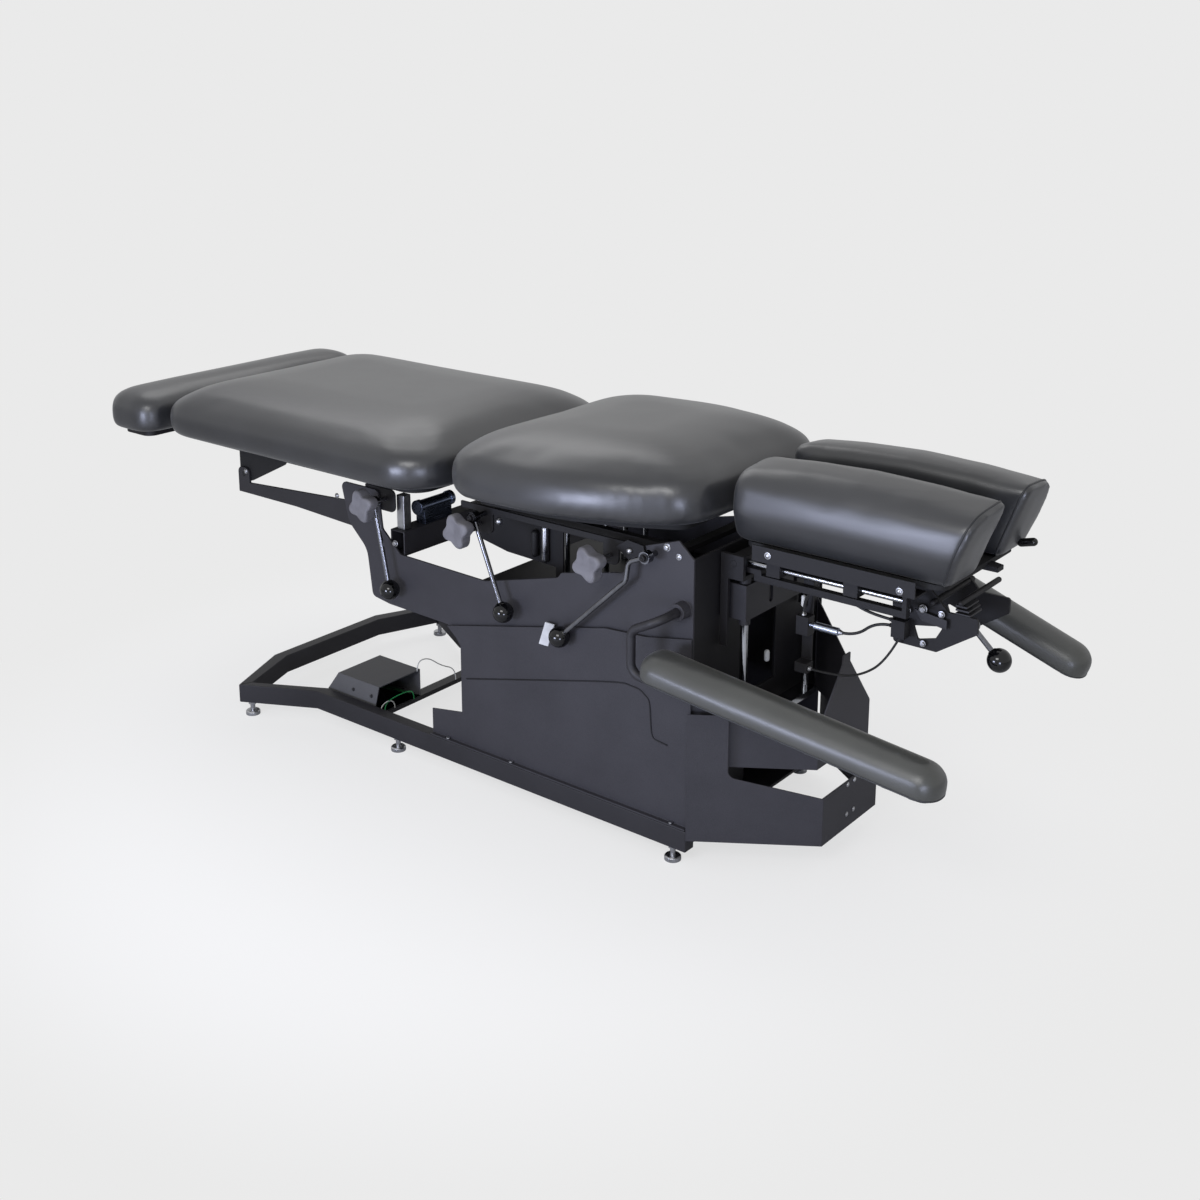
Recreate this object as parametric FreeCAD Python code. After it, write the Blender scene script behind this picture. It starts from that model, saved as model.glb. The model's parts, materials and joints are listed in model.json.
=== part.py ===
import FreeCAD, Part
import math
import os

# Chiropractic drop table. X runs along the table with the head end at +X, the near side is -Y, Z is up.
# Lengths are millimetres. The origin lies on the floor in the middle of the table.

V = FreeCAD.Vector
X_AXIS = V(1, 0, 0)
Y_AXIS = V(0, 1, 0)
Z_AXIS = V(0, 0, 1)
CENTRE = V(0, 0, 0)

# Overall
table_length = 2006.0
half_length = table_length / 2
cut_overrun = 4.0
running_gap = 0.05
side_gap = 0.3

# Base frame of rectangular tube on six levelling feet
foot_height = 29.0
foot_disc_radius = 15.0
foot_disc_height = 9.0
foot_disc_edge = 2.0
foot_stud_radius = 5.0
foot_nut_radius = 8.5
foot_nut_height = 6.0
rail_height = 40.0
rail_width = 26.0
rail_outer_y = 226.0
rail_head_x = 503.0
rail_bend_x = -445.0
flare_x = -600.0
flare_outer_y = 306.0
foot_bar_x = -667.0
foot_bar_half_width = 152.0
rail_bottom = foot_height
rail_top = rail_bottom + rail_height
rail_inner_y = rail_outer_y - rail_width
foot_inset_from_end = 35.0
foot_place_head_x = rail_head_x - foot_inset_from_end
foot_place_middle_x = -217.0
foot_place_flare_x = -584.0

# Lower cover: sheet sides bolted to the rails
cover_outer_y = 216.0
cover_wall = 3.0
cover_flange = 9.0
cover_foot_x = -34.0
cover_head_x = rail_head_x
cover_tongue_x = -114.0
cover_tongue_z = 122.0
cover_tongue_slope = 14.0
cover_corner_z = 278.0
cover_top_foot_x = -69.0
cover_top_foot_z = 306.0
cover_top_knee_x = 318.0
cover_top_knee_z = 397.0
cover_top_step_x = 406.0
cover_top_step_z = 403.0
cover_top_head_z = 422.0
cover_inner_y = cover_outer_y - cover_wall
end_wall_top = 186.0
flange_bolt_radius = 4.0
flange_bolt_head = 3.0
flange_bolt_xs_share = (-0.135, 0.19, 0.93)
tab_x = 166.0
tab_width = 22.0
tab_low_z = 330.0
tab_height = 46.0
tab_slant = 16.0
tab_thickness = 3.0

# Skirt round the head end of the base
skirt_start_y = 226.0
skirt_corner_x = 698.0
skirt_corner_y = 95.0
skirt_wall = 3.0
skirt_bottom = 52.0
skirt_high_top = 290.0
skirt_high_x = 562.0
skirt_low_side_top = 176.0
skirt_low_top = 142.0
skirt_step_radius = 14.0

# Lift: two telescopic columns with an actuator between them
pan_thickness = 6.0
pan_bottom = 36.0
pan_foot_x = -16.0
pan_head_x = 500.0
column_outer_size = 92.0
column_wall = 5.0
column_outer_top = 330.0
column_foot_x = 70.0
column_head_x = 400.0
column_gap = 1.0
column_inner_bottom = 80.0
column_inner_wall = 5.0
actuator_x = 235.0
actuator_radius = 34.0
actuator_top = 300.0
actuator_rod_radius = 15.0
actuator_rod_bottom = 90.0
actuator_bore_gap = 0.5
motor_radius = 36.0
motor_length = 120.0
motor_y = 90.0

# Control box on the near rail and a cross bar
crossbar_width = 26.0
crossbar_thickness = 10.0
crossbar_x = -326.0
box_foot_x = -459.0
box_head_x = -302.0
box_far_y = -62.0
box_top_foot_x = -424.0
box_top_near_y = -182.0
box_top_z = 102.0
box_wall = 2.5
board_thickness = 2.0
board_margin = 9.0
board_foot_margin = 27.0
board_head_margin = 3.0
board_parts_height = 14.0
wire_radius = 1.2
wire_rise = 24.0
green_wire_near_y = -168.0
green_wire_far_y = -84.0
short_wire_near_y = -181.0
short_wire_far_y = -140.0
thin_wire_near_y = -72.0
thin_wire_far_y = 44.0

# Moving upper frame: two side plates
plate_outer_y = 209.0
plate_thickness = 5.0
plate_inner_y = plate_outer_y - plate_thickness
plate_foot_x = -362.0
plate_top_z = 541.0
plate_arm_head_x = -255.0
plate_arm_low_x = -246.0
plate_arm_low_z = 463.0
plate_shoulder_x = -341.0
plate_shoulder_z = 458.0
plate_waist_x = -292.0
plate_waist_z = 412.0
plate_heel_x = -280.0
plate_heel_z = 316.0
plate_sole_x = -232.0
plate_sole_z = 309.0
plate_skirt_x = -28.0
plate_skirt_z = 205.0
plate_head_x = 501.0
tower_top_z = 592.0
tower_chamfer = 32.0
tower_foot_x = 352.0
plate_top_head_z = 506.0
window_tip_x = -198.0
window_tip_z = 420.0
window_low_x = 26.0
window_low_z = 416.0
window_head_x = 204.0
window_head_z = 463.0
window_corner_radius = 8.0
plate_corner_radius = 12.0
plate_curve_radius = 46.0
beam_foot_x = -228.0
beam_width = 38.0
beam_bottom = 416.0
beam_height = 50.0
beam_wall = 3.0
deck_bottom = 396.0
deck_thickness = 6.0
deck_foot_x = -10.0
tower_plate_x = 494.0
tower_plate_thickness = 6.0
tower_plate_low_z = 190.0
tower_plate_top_z = 560.0
tower_window_half_width = 56.0
tower_window_low_z = 262.0
tower_window_top_z = 420.0

# Head shroud on the moving frame, inside the skirt
shroud_start_x = plate_head_x
shroud_start_y = 208.0
shroud_corner_x = 680.0
shroud_corner_y = 89.0
shroud_wall = 3.0
shroud_bottom = 188.0
shroud_corner_top = 252.0
shroud_middle_top = 356.0
shroud_middle_half_width = 12.0
shroud_start_top = 372.0

# Leg section
arm_thickness = 6.0
footrest_length = 153.0
footrest_gap = 14.0
footrest_head_x = -half_length + footrest_length
leg_foot_x = footrest_head_x + footrest_gap
arm_inset = 146.0
arm_foot_x = leg_foot_x + arm_inset
arm_head_x = -300.0
arm_foot_top = 481.0
arm_foot_bottom = 457.0
arm_head_top = 504.0
arm_head_bottom = 448.0
arm_step_x = -505.0
leg_pivot_inset = 18.0
leg_pivot_x = arm_foot_x + leg_pivot_inset
leg_pivot_z = 498.0
leg_pivot_pin_radius = 5.0
leg_pivot_ear_top = 513.0
leg_pivot_ear_width = 34.0
leg_board_thickness = 14.0
leg_board_inset = 60.0
leg_bracket_thickness = 5.0
leg_bracket_length = 148.0
leg_bracket_nose_z = 484.0
leg_bracket_tail_z = 540.0
leg_head_x = -52.0
leg_overhang = 93.0
leg_half_width = plate_outer_y + leg_overhang
leg_foot_corner = 70.0
leg_head_corner = 105.0
leg_bottom_z = 578.0
leg_height = 80.0
leg_crown = 36.0

# Foot section slides out of the leg board on two rods
footrest_half_width = 318.0
footrest_corner = 52.0
footrest_corner_loss_share = 0.86
footrest_bottom_z = 574.0
footrest_height = 70.0
footrest_crown = 20.0
footrest_board_thickness = 12.0
footrest_board_inset = 30.0
footrest_rod_radius = 7.0
footrest_rod_y = 150.0
footrest_rod_z = 552.0
footrest_rod_reach = 346.0
footrest_block_spacing = 80.0
footrest_block_length = 30.0
footrest_block_height = 26.0
footrest_block_width = 26.0
footrest_end_block_length = 24.0

# Pelvic drop latch
latch_post_size = 20.0
latch_post_x = -208.0
latch_post_y = 185.0
latch_post_top = 536.0
air_cylinder_radius = 13.0
air_cylinder_length = 96.0
air_cylinder_x = -206.0
air_cylinder_y = -152.0
air_cylinder_z = 500.0
air_cylinder_cap_radius = 15.0
air_cylinder_cap_length = 10.0
air_cylinder_saddle_width = 24.0

# Chest section, tilted a little up towards the head
chest_foot_x = -34.0
chest_head_x = 506.0
chest_half_width = 288.0
chest_taper_x = 300.0
chest_head_half_width = 205.0
chest_foot_corner = 98.0
chest_head_corner = 82.0
chest_taper_corner = 640.0
chest_bottom_z = 589.0
chest_height = 88.0
chest_crown = 35.0
chest_tilt_degrees = 2.2
chest_board_thickness = 14.0
chest_board_inset = 50.0
lumbar_bar_y = 168.0
lumbar_bar_width = 16.0
lumbar_bar_height = 18.0
lumbar_bar_foot_x = 26.0
lumbar_bar_head_x = 446.0
lumbar_bar_bottom_z = 545.0
lumbar_tie_width = 22.0
lumbar_pivot_x = 424.0
chest_pivot_x = 40.0
chest_ear_thickness = 5.0
chest_ear_width = 22.0
chest_pin_radius = 4.0
lumbar_ear_gap = 0.5
guide_rod_radius = 5.0
guide_rod_places_share = ((0.255, -0.44), (0.395, -0.30), (0.255, 0.44), (0.395, 0.30))
guide_rod_top = 538.0
guide_collar_radius = 9.0
guide_collar_height = 12.0

# Levers, knobs
lever_y = 236.0
lever_rod_radius = 4.5
ball_radius = 19.5
ball_flat = 5.0
hub_radius = 11.0
hub_length = 14.0
lever_stud_radius = 5.0
pelvic_ball_x = -202.0
pelvic_ball_z = 354.0
lumbar_lever_pivot_x = 27.0
lumbar_lever_pivot_z = 549.0
lumbar_ball_x = 96.0
lumbar_ball_z = 379.0
thoracic_lever_pivot_x = 422.0
thoracic_lever_pivot_z = 557.0
thoracic_bend_high_x = 384.0
thoracic_bend_high_z = 540.0
thoracic_bend_low_x = 379.0
thoracic_bend_low_z = 505.0
thoracic_ball_x = 230.0
thoracic_ball_z = 365.0
lever_bend_radius = 16.0
knob_corner_reach = 50.0
knob_valley_reach = 22.0
knob_thickness = 26.0
knob_lobe_radius = 11.0
knob_valley_round = 9.0
knob_boss_radius = 12.0
knob_boss_length = 6.5
knob_stud_radius = 4.0
knob_y = 263.0
pelvic_knob_x = -238.0
pelvic_knob_z = 526.0
lumbar_knob_x = 13.0
lumbar_knob_z = 526.0
thoracic_knob_x = 321.0
thoracic_knob_z = 530.0
control_plate_thickness = 5.0
control_rail_foot_x = -36.0
control_rail_head_x = 408.0
control_rail_bottom = 549.0
control_rail_height = 12.0
control_lug_margin = 17.0
pelvic_plate_foot_x = -296.0
pelvic_plate_head_x = -214.0
pelvic_plate_bottom = 500.0
pelvic_plate_top = 546.0

# Armrests
armrest_pivot_x = 482.0
armrest_pivot_z = 470.0
far_armrest_pivot_z = 489.8
armrest_tube_radius = 8.0
armrest_socket_radius = 15.0
armrest_socket_length = 22.0
armrest_centre_y = 280.0
armrest_root_half_width = 41.0
armrest_tip_half_width = 37.0
armrest_root_x = 452.0
armrest_root_z = 371.0
armrest_pad_height = 34.0
armrest_crown = 17.0
armrest_draw_in = 30.0
armrest_corner_loss_share = 0.8
armrest_tilt_degrees = 5.8
far_armrest_root_z = 505.0
far_armrest_tilt_degrees = 20.0
armrest_root_corner = 36.0
armrest_tip_corner = 34.0
armrest_plate_thickness = 4.0
armrest_plate_inset = 14.0
armrest_plate_corner = 18.0
weld_depth = 1.0
armrest_loop_x = 424.0
armrest_loop_high_z = 440.0
armrest_run_end_x = 640.0
armrest_bend_radius = 22.0

# Head section: posts that rise through sleeves on the tower, a tilting pair of rods, a sliding frame
post_x = 536.0
post_y = 105.0
post_radius = 7.0
post_bottom = 236.0
post_tie_thickness = 12.0
post_tie_margin = 16.0
sleeve_wall = 3.0
sleeve_bottom = 425.0
sleeve_top = 511.5
sleeve_bracket_bottom = 436.0
sleeve_bracket_top = 500.0
sleeve_bracket_head_x = 548.0
sleeve_bracket_wall = 5.0
slot_radius = 6.0
slot_length = 26.0
slot_y = 40.0
yoke_bottom = 512.0
yoke_thickness = 8.0
yoke_foot_x = 504.0
yoke_head_x = 550.0
ear_outer_y = 134.0
ear_thickness = 8.0
ear_top = 556.0
yoke_strip_width = 15.0
yoke_strip_bottom = 388.0
head_pivot_x = 530.0
head_pivot_z = 541.0
head_pivot_pin_radius = 6.0
head_rod_y = 112.0
head_rod_radius = 5.5
head_rod_head_x = 838.0
tilt_bar_foot_x = 519.0
tilt_bar_head_x = 545.0
tilt_bar_half_width = 125.0
tilt_bar_height = 22.0
support_foot_x = 562.0
support_bottom = 513.0
support_height = 12.0
support_width = 14.0
support_end_length = 8.0
support_hanger_top = 534.0
slide_block_length = 26.0
slide_block_width = 28.0
slide_block_foot_x = 590.0
slide_block_head_x = 736.0
angle_bar_outer_y = 153.0
angle_bar_wall = 3.0
angle_bar_foot_x = 578.0
angle_bar_head_x = 876.0
angle_bar_top = 590.0
angle_bar_height = 27.0
angle_bar_leg = 40.0
head_tie_foot_x = 614.0
head_tie_head_x = 740.0
head_tie_width = 26.0
head_tie_thickness = 5.0
head_pad_foot_x = 531.0
head_pad_low_head_x = 924.0
head_pad_high_head_x = 968.0
head_pad_inner_y = 40.0
head_pad_inner_low_y = 46.0
head_pad_outer_top_y = 149.0
head_pad_outer_mid_y = 155.0
head_pad_outer_low_y = 139.0
head_pad_bottom_z = 586.0
head_pad_mid_z = 640.0
head_pad_bulge = 14.0
head_pad_inner_top = 716.0
head_pad_outer_top = 706.0
head_pad_top_round = 40.0
head_pad_side_round = 50.0
head_pad_inner_round = 15.0
head_pad_low_round = 12.0
head_pad_foot_inset = 8.0
head_pad_head_inset = 3.0
head_pad_end_round = 22.0
head_pad_end_step = 7.3
head_pad_foot_step_inset = 2.7
head_pad_first_share = 0.25
head_pad_middle_share = 0.5
head_pad_last_share = 0.75
head_lever_hub_trim = 2.0
head_board_thickness = 9.0
head_board_foot_x = 548.0
head_board_head_x = 914.0
head_board_half_width = 131.0
head_board_corner = 20.0
face_slot_half_width = 30.0
face_slot_foot_x = 650.0
face_slot_head_x = 880.0
drop_pivot_x = 600.0
drop_pivot_z = 571.0
drop_pin_radius = 3.0
drop_ear_y = 78.0
drop_ear_thickness = 6.0
drop_ear_half_length = 8.0
drop_ear_half_height = 6.0
keel_y = 62.0
keel_thickness = 5.0
keel_depth = 10.0
keel_drop_x = 790.0
keel_corner_x = 797.0
keel_low_z = 446.0
keel_nose_x = 874.0
keel_tip_x = 942.0
keel_tip_low_z = 492.0
keel_tip_high_z = 518.0
keel_shoulder_x = 846.0
keel_step_x = 890.0
keel_corner_radius = 5.0
keel_window_shares = ((0.45, 0.5), (1.13, 0.64), (0.96, 0.31), (0.56, 0.19))
keel_window_round = 3.0
head_lever_pivot_x = 926.0
head_lever_pivot_z = 500.0
head_ball_x = 975.0
head_ball_z = 454.0
head_lever_y = 48.0
clamp_block_foot_x = 803.0
clamp_block_length = 24.0
clamp_block_width = 22.0
clamp_block_height = 30.0
clamp_block_z = 462.0
valve_hanger_x = 622.0
valve_hanger_width = 20.0
valve_hanger_bottom = 352.0
valve_hanger_thickness = 4.0
valve_length = 24.0
valve_width = 22.0
valve_z = 420.0
valve_height = 34.0
cable_stop_height = 18.0
barrel_z = 441.0
barrel_radius = 7.0
barrel_length = 46.0
barrel_nipple_radius = 3.5
barrel_nipple_length = 10.0
hose_radius = 2.5
cable_radius = 2.0


def block(x0, x1, y0, y1, z0, z1):
    return Part.makeBox(x1 - x0, y1 - y0, z1 - z0, V(x0, y0, z0))


def pin_y(x, z, y0, y1, radius):
    return Part.makeCylinder(radius, y1 - y0, V(x, y0, z), Y_AXIS)


def pin_z(x, y, z0, z1, radius):
    return Part.makeCylinder(radius, z1 - z0, V(x, y, z0), Z_AXIS)


def pin_x(y, z, x0, x1, radius):
    return Part.makeCylinder(radius, x1 - x0, V(x0, y, z), X_AXIS)


def bar_between(start, end, radius):
    return Part.makeCylinder(radius, (end - start).Length, start, end - start)


def far_copy(shape):
    return shape.mirror(CENTRE, Y_AXIS)


def fused(first, *others):
    return first.fuse(list(others)).removeSplitter()


# Closed wire through corners given as (point, radius): straight sides joined by tangent arcs.
# A side is drawn in by pull at its middle where pull is given.
def rounded_wire(corners, pull_share=0.0):
    count = len(corners)
    centre = V(0, 0, 0)
    for place, radius in corners:
        centre = centre + place * (1.0 / count)
    starts = []
    edges = []
    for i in range(count):
        place, radius = corners[i]
        before = (corners[i - 1][0] - place).normalize()
        after = (corners[(i + 1) % count][0] - place).normalize()
        half_turn = before.getAngle(after) / 2
        reach = radius / math.tan(half_turn)
        inward = (before + after).normalize()
        middle = place + inward * (radius / math.sin(half_turn) - radius)
        starts.append((place + before * reach, middle, place + after * reach, radius))
    for i in range(count):
        first, middle, last, radius = starts[i]
        if radius > 0:
            edges.append(Part.Arc(first, middle, last).toShape())
        following = starts[(i + 1) % count][0]
        if pull_share > 0:
            halfway = (last + following) * 0.5
            inward = centre - halfway
            span = following - last
            pull = span.Length * pull_share
            along = span.normalize()
            inward = (inward - along * inward.dot(along)).normalize()
            edges.append(Part.Arc(last, halfway + inward * pull, following).toShape())
        else:
            edges.append(Part.LineSegment(last, following).toShape())
    return Part.Wire(edges)


# Plate standing in the XZ plane: corners are (x, z, radius).
def upright_plate(corners, y0, y1):
    wire = rounded_wire([(V(x, y0, z), radius) for x, z, radius in corners])
    return Part.Face(wire).extrude(V(0, y1 - y0, 0))


# Flat plate: corners are (x, y, radius).
def flat_plate(corners, z0, z1):
    wire = rounded_wire([(V(x, y, z0), radius) for x, y, radius in corners])
    return Part.Face(wire).extrude(V(0, 0, z1 - z0))


# Corner points of a convex outline moved inwards by one distance all round.
def drawn_in(corners, distance):
    count = len(corners)
    moved = []
    for i in range(count):
        x, y, radius = corners[i]
        px, py = corners[i - 1][:2]
        nx, ny = corners[(i + 1) % count][:2]
        first = V(x - px, y - py, 0).normalize()
        second = V(nx - x, ny - y, 0).normalize()
        side_a = V(-first.y, first.x, 0)
        side_b = V(-second.y, second.x, 0)
        spread = 1.0 + side_a.dot(side_b)
        shift = (side_a + side_b) * (distance / spread)
        moved.append((x + shift.x, y + shift.y, radius))
    return moved


# Outline of the board under a pad: parallel to the pad's outline.
def board_outline(corners, distance):
    return [(x, y, radius - distance) for x, y, radius in drawn_in(corners, distance)]


# Profile of an upholstered pad: share of the side height or of the crown, share of the full draw-in.
pad_side_shares = (
    (0.0, 0.075),
    (0.10, 0.025),
    (0.24, 0.0),
    (0.58, 0.0),
    (0.76, 0.02),
    (0.90, 0.065),
    (1.0, 0.14),
)
pad_crown_shares = ((0.36, 0.28), (0.66, 0.48), (0.88, 0.72), (1.0, 1.0))
corner_loss_share = 0.6


# Crowned cushion lofted through level outlines, sides drawn in between the corners.
def cushion(corners, bottom, height, crown, draw_in, pull_share, loss_share=corner_loss_share):
    levels = [(bottom + height * share, inset) for share, inset in pad_side_shares]
    levels += [(bottom + height + crown * share, inset) for share, inset in pad_crown_shares]
    wires = []
    for level, inset_share in levels:
        outline = drawn_in(corners, draw_in * inset_share)
        corner_share = 1.0 - loss_share * inset_share
        wires.append(rounded_wire([(V(x, y, level), r * corner_share) for x, y, r in outline], pull_share))
    return Part.makeLoft(wires, True, True)


# Round bar along straight runs joined by tangent arcs of one radius.
def bent_bar(points, bend_radius, bar_radius):
    edges = []
    last = points[0]
    for i in range(1, len(points) - 1):
        before = (points[i - 1] - points[i]).normalize()
        after = (points[i + 1] - points[i]).normalize()
        half_turn = before.getAngle(after) / 2
        reach = bend_radius / math.tan(half_turn)
        inward = (before + after).normalize()
        middle = points[i] + inward * (bend_radius / math.sin(half_turn) - bend_radius)
        edges.append(Part.LineSegment(last, points[i] + before * reach).toShape())
        edges.append(Part.Arc(points[i] + before * reach, middle, points[i] + after * reach).toShape())
        last = points[i] + after * reach
    edges.append(Part.LineSegment(last, points[-1]).toShape())
    path = Part.Wire(edges)
    start = points[0]
    section = Part.Wire([Part.Circle(start, points[1] - start, bar_radius).toShape()])
    return path.makePipeShell([section], True, True)


# Free hose: each arc is as large as its two runs allow.
def hose(name, route, radius):
    points = [V(x, y, z) for x, y, z in route]
    edges = []
    radii = []
    last = points[0]
    for i in range(1, len(points) - 1):
        run_a = (points[i - 1] - points[i]).Length
        run_b = (points[i + 1] - points[i]).Length
        before = (points[i - 1] - points[i]).normalize()
        after = (points[i + 1] - points[i]).normalize()
        half_angle = before.getAngle(after) / 2
        reach = hose_reach_share * min(run_a, run_b)
        bend = reach * math.tan(half_angle)
        inward = (before + after).normalize()
        middle = points[i] + inward * (bend / math.sin(half_angle) - bend)
        edges.append(Part.LineSegment(last, points[i] + before * reach).toShape())
        edges.append(Part.Arc(points[i] + before * reach, middle, points[i] + after * reach).toShape())
        last = points[i] + after * reach
        radii.append(round(bend, 1))
    edges.append(Part.LineSegment(last, points[-1]).toShape())
    path = Part.Wire(edges)
    section = Part.Wire([Part.Circle(points[0], points[1] - points[0], radius).toShape()])
    solid = path.makePipeShell([section], True, True)
    share = solid.Volume / (math.pi * radius * radius * path.Length)
    print(name, "length", round(path.Length, 1), "bend radii", radii, "volume share", round(share, 4))
    return solid


hose_reach_share = 0.45
parts = {}


# Base frame
def rail_side(sign):
    inner_bend = rail_width * math.tan(math.atan2(flare_outer_y - rail_outer_y, rail_bend_x - flare_x) / 2)
    outline = [
        (rail_head_x, sign * rail_outer_y, 0),
        (rail_head_x, sign * rail_inner_y, 0),
        (rail_bend_x + inner_bend, sign * rail_inner_y, 0),
        (flare_x + rail_width / 2, sign * (flare_outer_y - rail_width), 0),
        (flare_x, sign * flare_outer_y, 0),
        (rail_bend_x, sign * rail_outer_y, 0),
    ]
    return flat_plate(outline, rail_bottom, rail_top)


def foot_crossbar():
    inner_x = foot_bar_x + rail_width
    outline = [
        (flare_x, -flare_outer_y, 0),
        (flare_x + rail_width / 2, -flare_outer_y + rail_width, 0),
        (inner_x, -foot_bar_half_width + rail_width / 2, 0),
        (inner_x, foot_bar_half_width - rail_width / 2, 0),
        (flare_x + rail_width / 2, flare_outer_y - rail_width, 0),
        (flare_x, flare_outer_y, 0),
        (foot_bar_x, foot_bar_half_width, 0),
        (foot_bar_x, -foot_bar_half_width, 0),
    ]
    return flat_plate(outline, rail_bottom, rail_top)


def foot_places():
    middle_y = rail_outer_y - rail_width / 2
    flare_run = (rail_bend_x - foot_place_flare_x) / (rail_bend_x - flare_x)
    flare_y = middle_y + flare_run * (flare_outer_y - rail_outer_y)
    places = []
    near_places = (
        (foot_place_head_x, middle_y),
        (foot_place_middle_x, middle_y),
        (foot_place_flare_x, flare_y),
    )
    for x, y in near_places:
        places.append((x, -y))
        places.append((x, y))
    return places


def levelling_foot(x, y):
    disc = pin_z(x, y, 0, foot_disc_height, foot_disc_radius)
    disc = disc.makeChamfer(foot_disc_edge, disc.Edges[:1])
    stud = pin_z(x, y, foot_disc_height, foot_height, foot_stud_radius)
    nut_corners = []
    for i in range(6):
        turn = i * math.pi / 3
        nut_corners.append((x + foot_nut_radius * math.cos(turn), y + foot_nut_radius * math.sin(turn), 0))
    nut = flat_plate(nut_corners, foot_height - foot_nut_height, foot_height)
    return fused(disc, stud, nut)


parts["side_rails"] = Part.makeCompound([rail_side(-1), rail_side(1)])
parts["foot_crossbar"] = foot_crossbar()
parts["levelling_feet"] = Part.makeCompound([levelling_foot(x, y) for x, y in foot_places()])


# Lower cover
def lower_cover():
    side = upright_plate(
        [
            (cover_head_x, rail_top, 0),
            (cover_head_x, cover_top_head_z, 0),
            (cover_top_step_x, cover_top_step_z, 0),
            (cover_top_knee_x, cover_top_knee_z, 0),
            (cover_top_foot_x, cover_top_foot_z, 0),
            (cover_foot_x, cover_corner_z, 0),
            (cover_foot_x, cover_tongue_z + cover_tongue_slope, 0),
            (cover_tongue_x, cover_tongue_z, 0),
            (cover_tongue_x, rail_top, 0),
        ],
        -cover_outer_y,
        -cover_inner_y,
    )
    flange = block(
        cover_tongue_x,
        cover_head_x - cover_wall,
        -cover_outer_y - cover_flange,
        -cover_outer_y,
        rail_top,
        rail_top + cover_wall,
    )
    return fused(side, flange)


def flange_bolts(sign):
    bolts = []
    for share in flange_bolt_xs_share:
        x = share * cover_head_x
        y = sign * (cover_outer_y + cover_flange / 2)
        bolts.append(pin_z(x, y, rail_top + cover_wall, rail_top + cover_wall + flange_bolt_head, flange_bolt_radius))
    return bolts


parts["lower_covers"] = Part.makeCompound([lower_cover(), far_copy(lower_cover())])
parts["cover_flange_bolts"] = Part.makeCompound(flange_bolts(-1) + flange_bolts(1))
parts["foot_end_wall"] = block(
    cover_foot_x, cover_foot_x + cover_wall, -cover_inner_y, cover_inner_y, rail_top, end_wall_top
)
parts["cover_pull_tab"] = upright_plate(
    [
        (tab_x, tab_low_z, 0),
        (tab_x + tab_width, tab_low_z, 0),
        (tab_x + tab_width + tab_slant, tab_low_z + tab_height, 0),
        (tab_x + tab_slant, tab_low_z + tab_height, 0),
    ],
    -cover_outer_y - tab_thickness,
    -cover_outer_y,
)


# Bent sheet standing on a plan path of three walls: near chamfer, end, far chamfer.
def bent_sheet(start_x, start_y, corner_x, corner_y, wall, low, high):
    inset = wall * math.tan(math.atan2(start_y - corner_y, corner_x - start_x) / 2)
    outline = [
        (start_x, -start_y, 0),
        (corner_x, -corner_y, 0),
        (corner_x, corner_y, 0),
        (start_x, start_y, 0),
        (start_x, start_y - wall, 0),
        (corner_x - wall, corner_y - inset, 0),
        (corner_x - wall, -corner_y + inset, 0),
        (start_x, -start_y + wall, 0),
    ]
    return flat_plate(outline, low, high)


def head_end_skirt():
    start_x = cover_head_x
    sheet = bent_sheet(start_x, skirt_start_y, skirt_corner_x, skirt_corner_y, skirt_wall, skirt_bottom, skirt_high_top)
    trim = upright_plate(
        [
            (skirt_high_x, skirt_high_top + cut_overrun, 0),
            (skirt_high_x, skirt_low_side_top, skirt_step_radius),
            (skirt_corner_x - skirt_wall, skirt_low_top, 0),
            (skirt_corner_x + cut_overrun, skirt_low_top, 0),
            (skirt_corner_x + cut_overrun, skirt_high_top + cut_overrun, 0),
        ],
        -skirt_start_y,
        skirt_start_y,
    )
    return sheet.cut(trim)


parts["head_end_skirt"] = head_end_skirt()


# Lift
def square_tube(x, size, wall, low, high):
    half = size / 2
    outer = block(x - half, x + half, -half, half, low, high)
    bore = block(
        x - half + wall, x + half - wall, -half + wall, half - wall, low - cut_overrun, high + cut_overrun
    )
    return outer.cut(bore)


pan_top = pan_bottom + pan_thickness
column_inner_size = column_outer_size - 2 * column_wall - 2 * column_gap
pan_sheet = block(pan_foot_x, pan_head_x, -rail_inner_y, rail_inner_y, pan_bottom, pan_top)
parts["lift_columns_outer"] = Part.makeCompound(
    [
        square_tube(x, column_outer_size, column_wall, pan_top, column_outer_top)
        for x in (column_foot_x, column_head_x)
    ]
)
actuator_bore = actuator_rod_radius + actuator_bore_gap
actuator_body = pin_z(actuator_x, 0, pan_top, actuator_top, actuator_radius)
actuator_hole = pin_z(actuator_x, 0, pan_top + pan_thickness, actuator_top + cut_overrun, actuator_bore)
motor_z = pan_top + motor_radius
motor_start = actuator_x - motor_length / 2
motor_body = pin_x(motor_y, motor_z, motor_start, motor_start + motor_length, motor_radius)
parts["lift_actuator"] = Part.makeCompound([actuator_body.cut(actuator_hole), motor_body])

# Control box
box_crossbar = block(
    crossbar_x,
    crossbar_x + crossbar_width,
    -rail_inner_y,
    rail_inner_y,
    pan_top - crossbar_thickness,
    pan_top,
)
parts["base_pan"] = Part.makeCompound([pan_sheet, box_crossbar])


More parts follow.
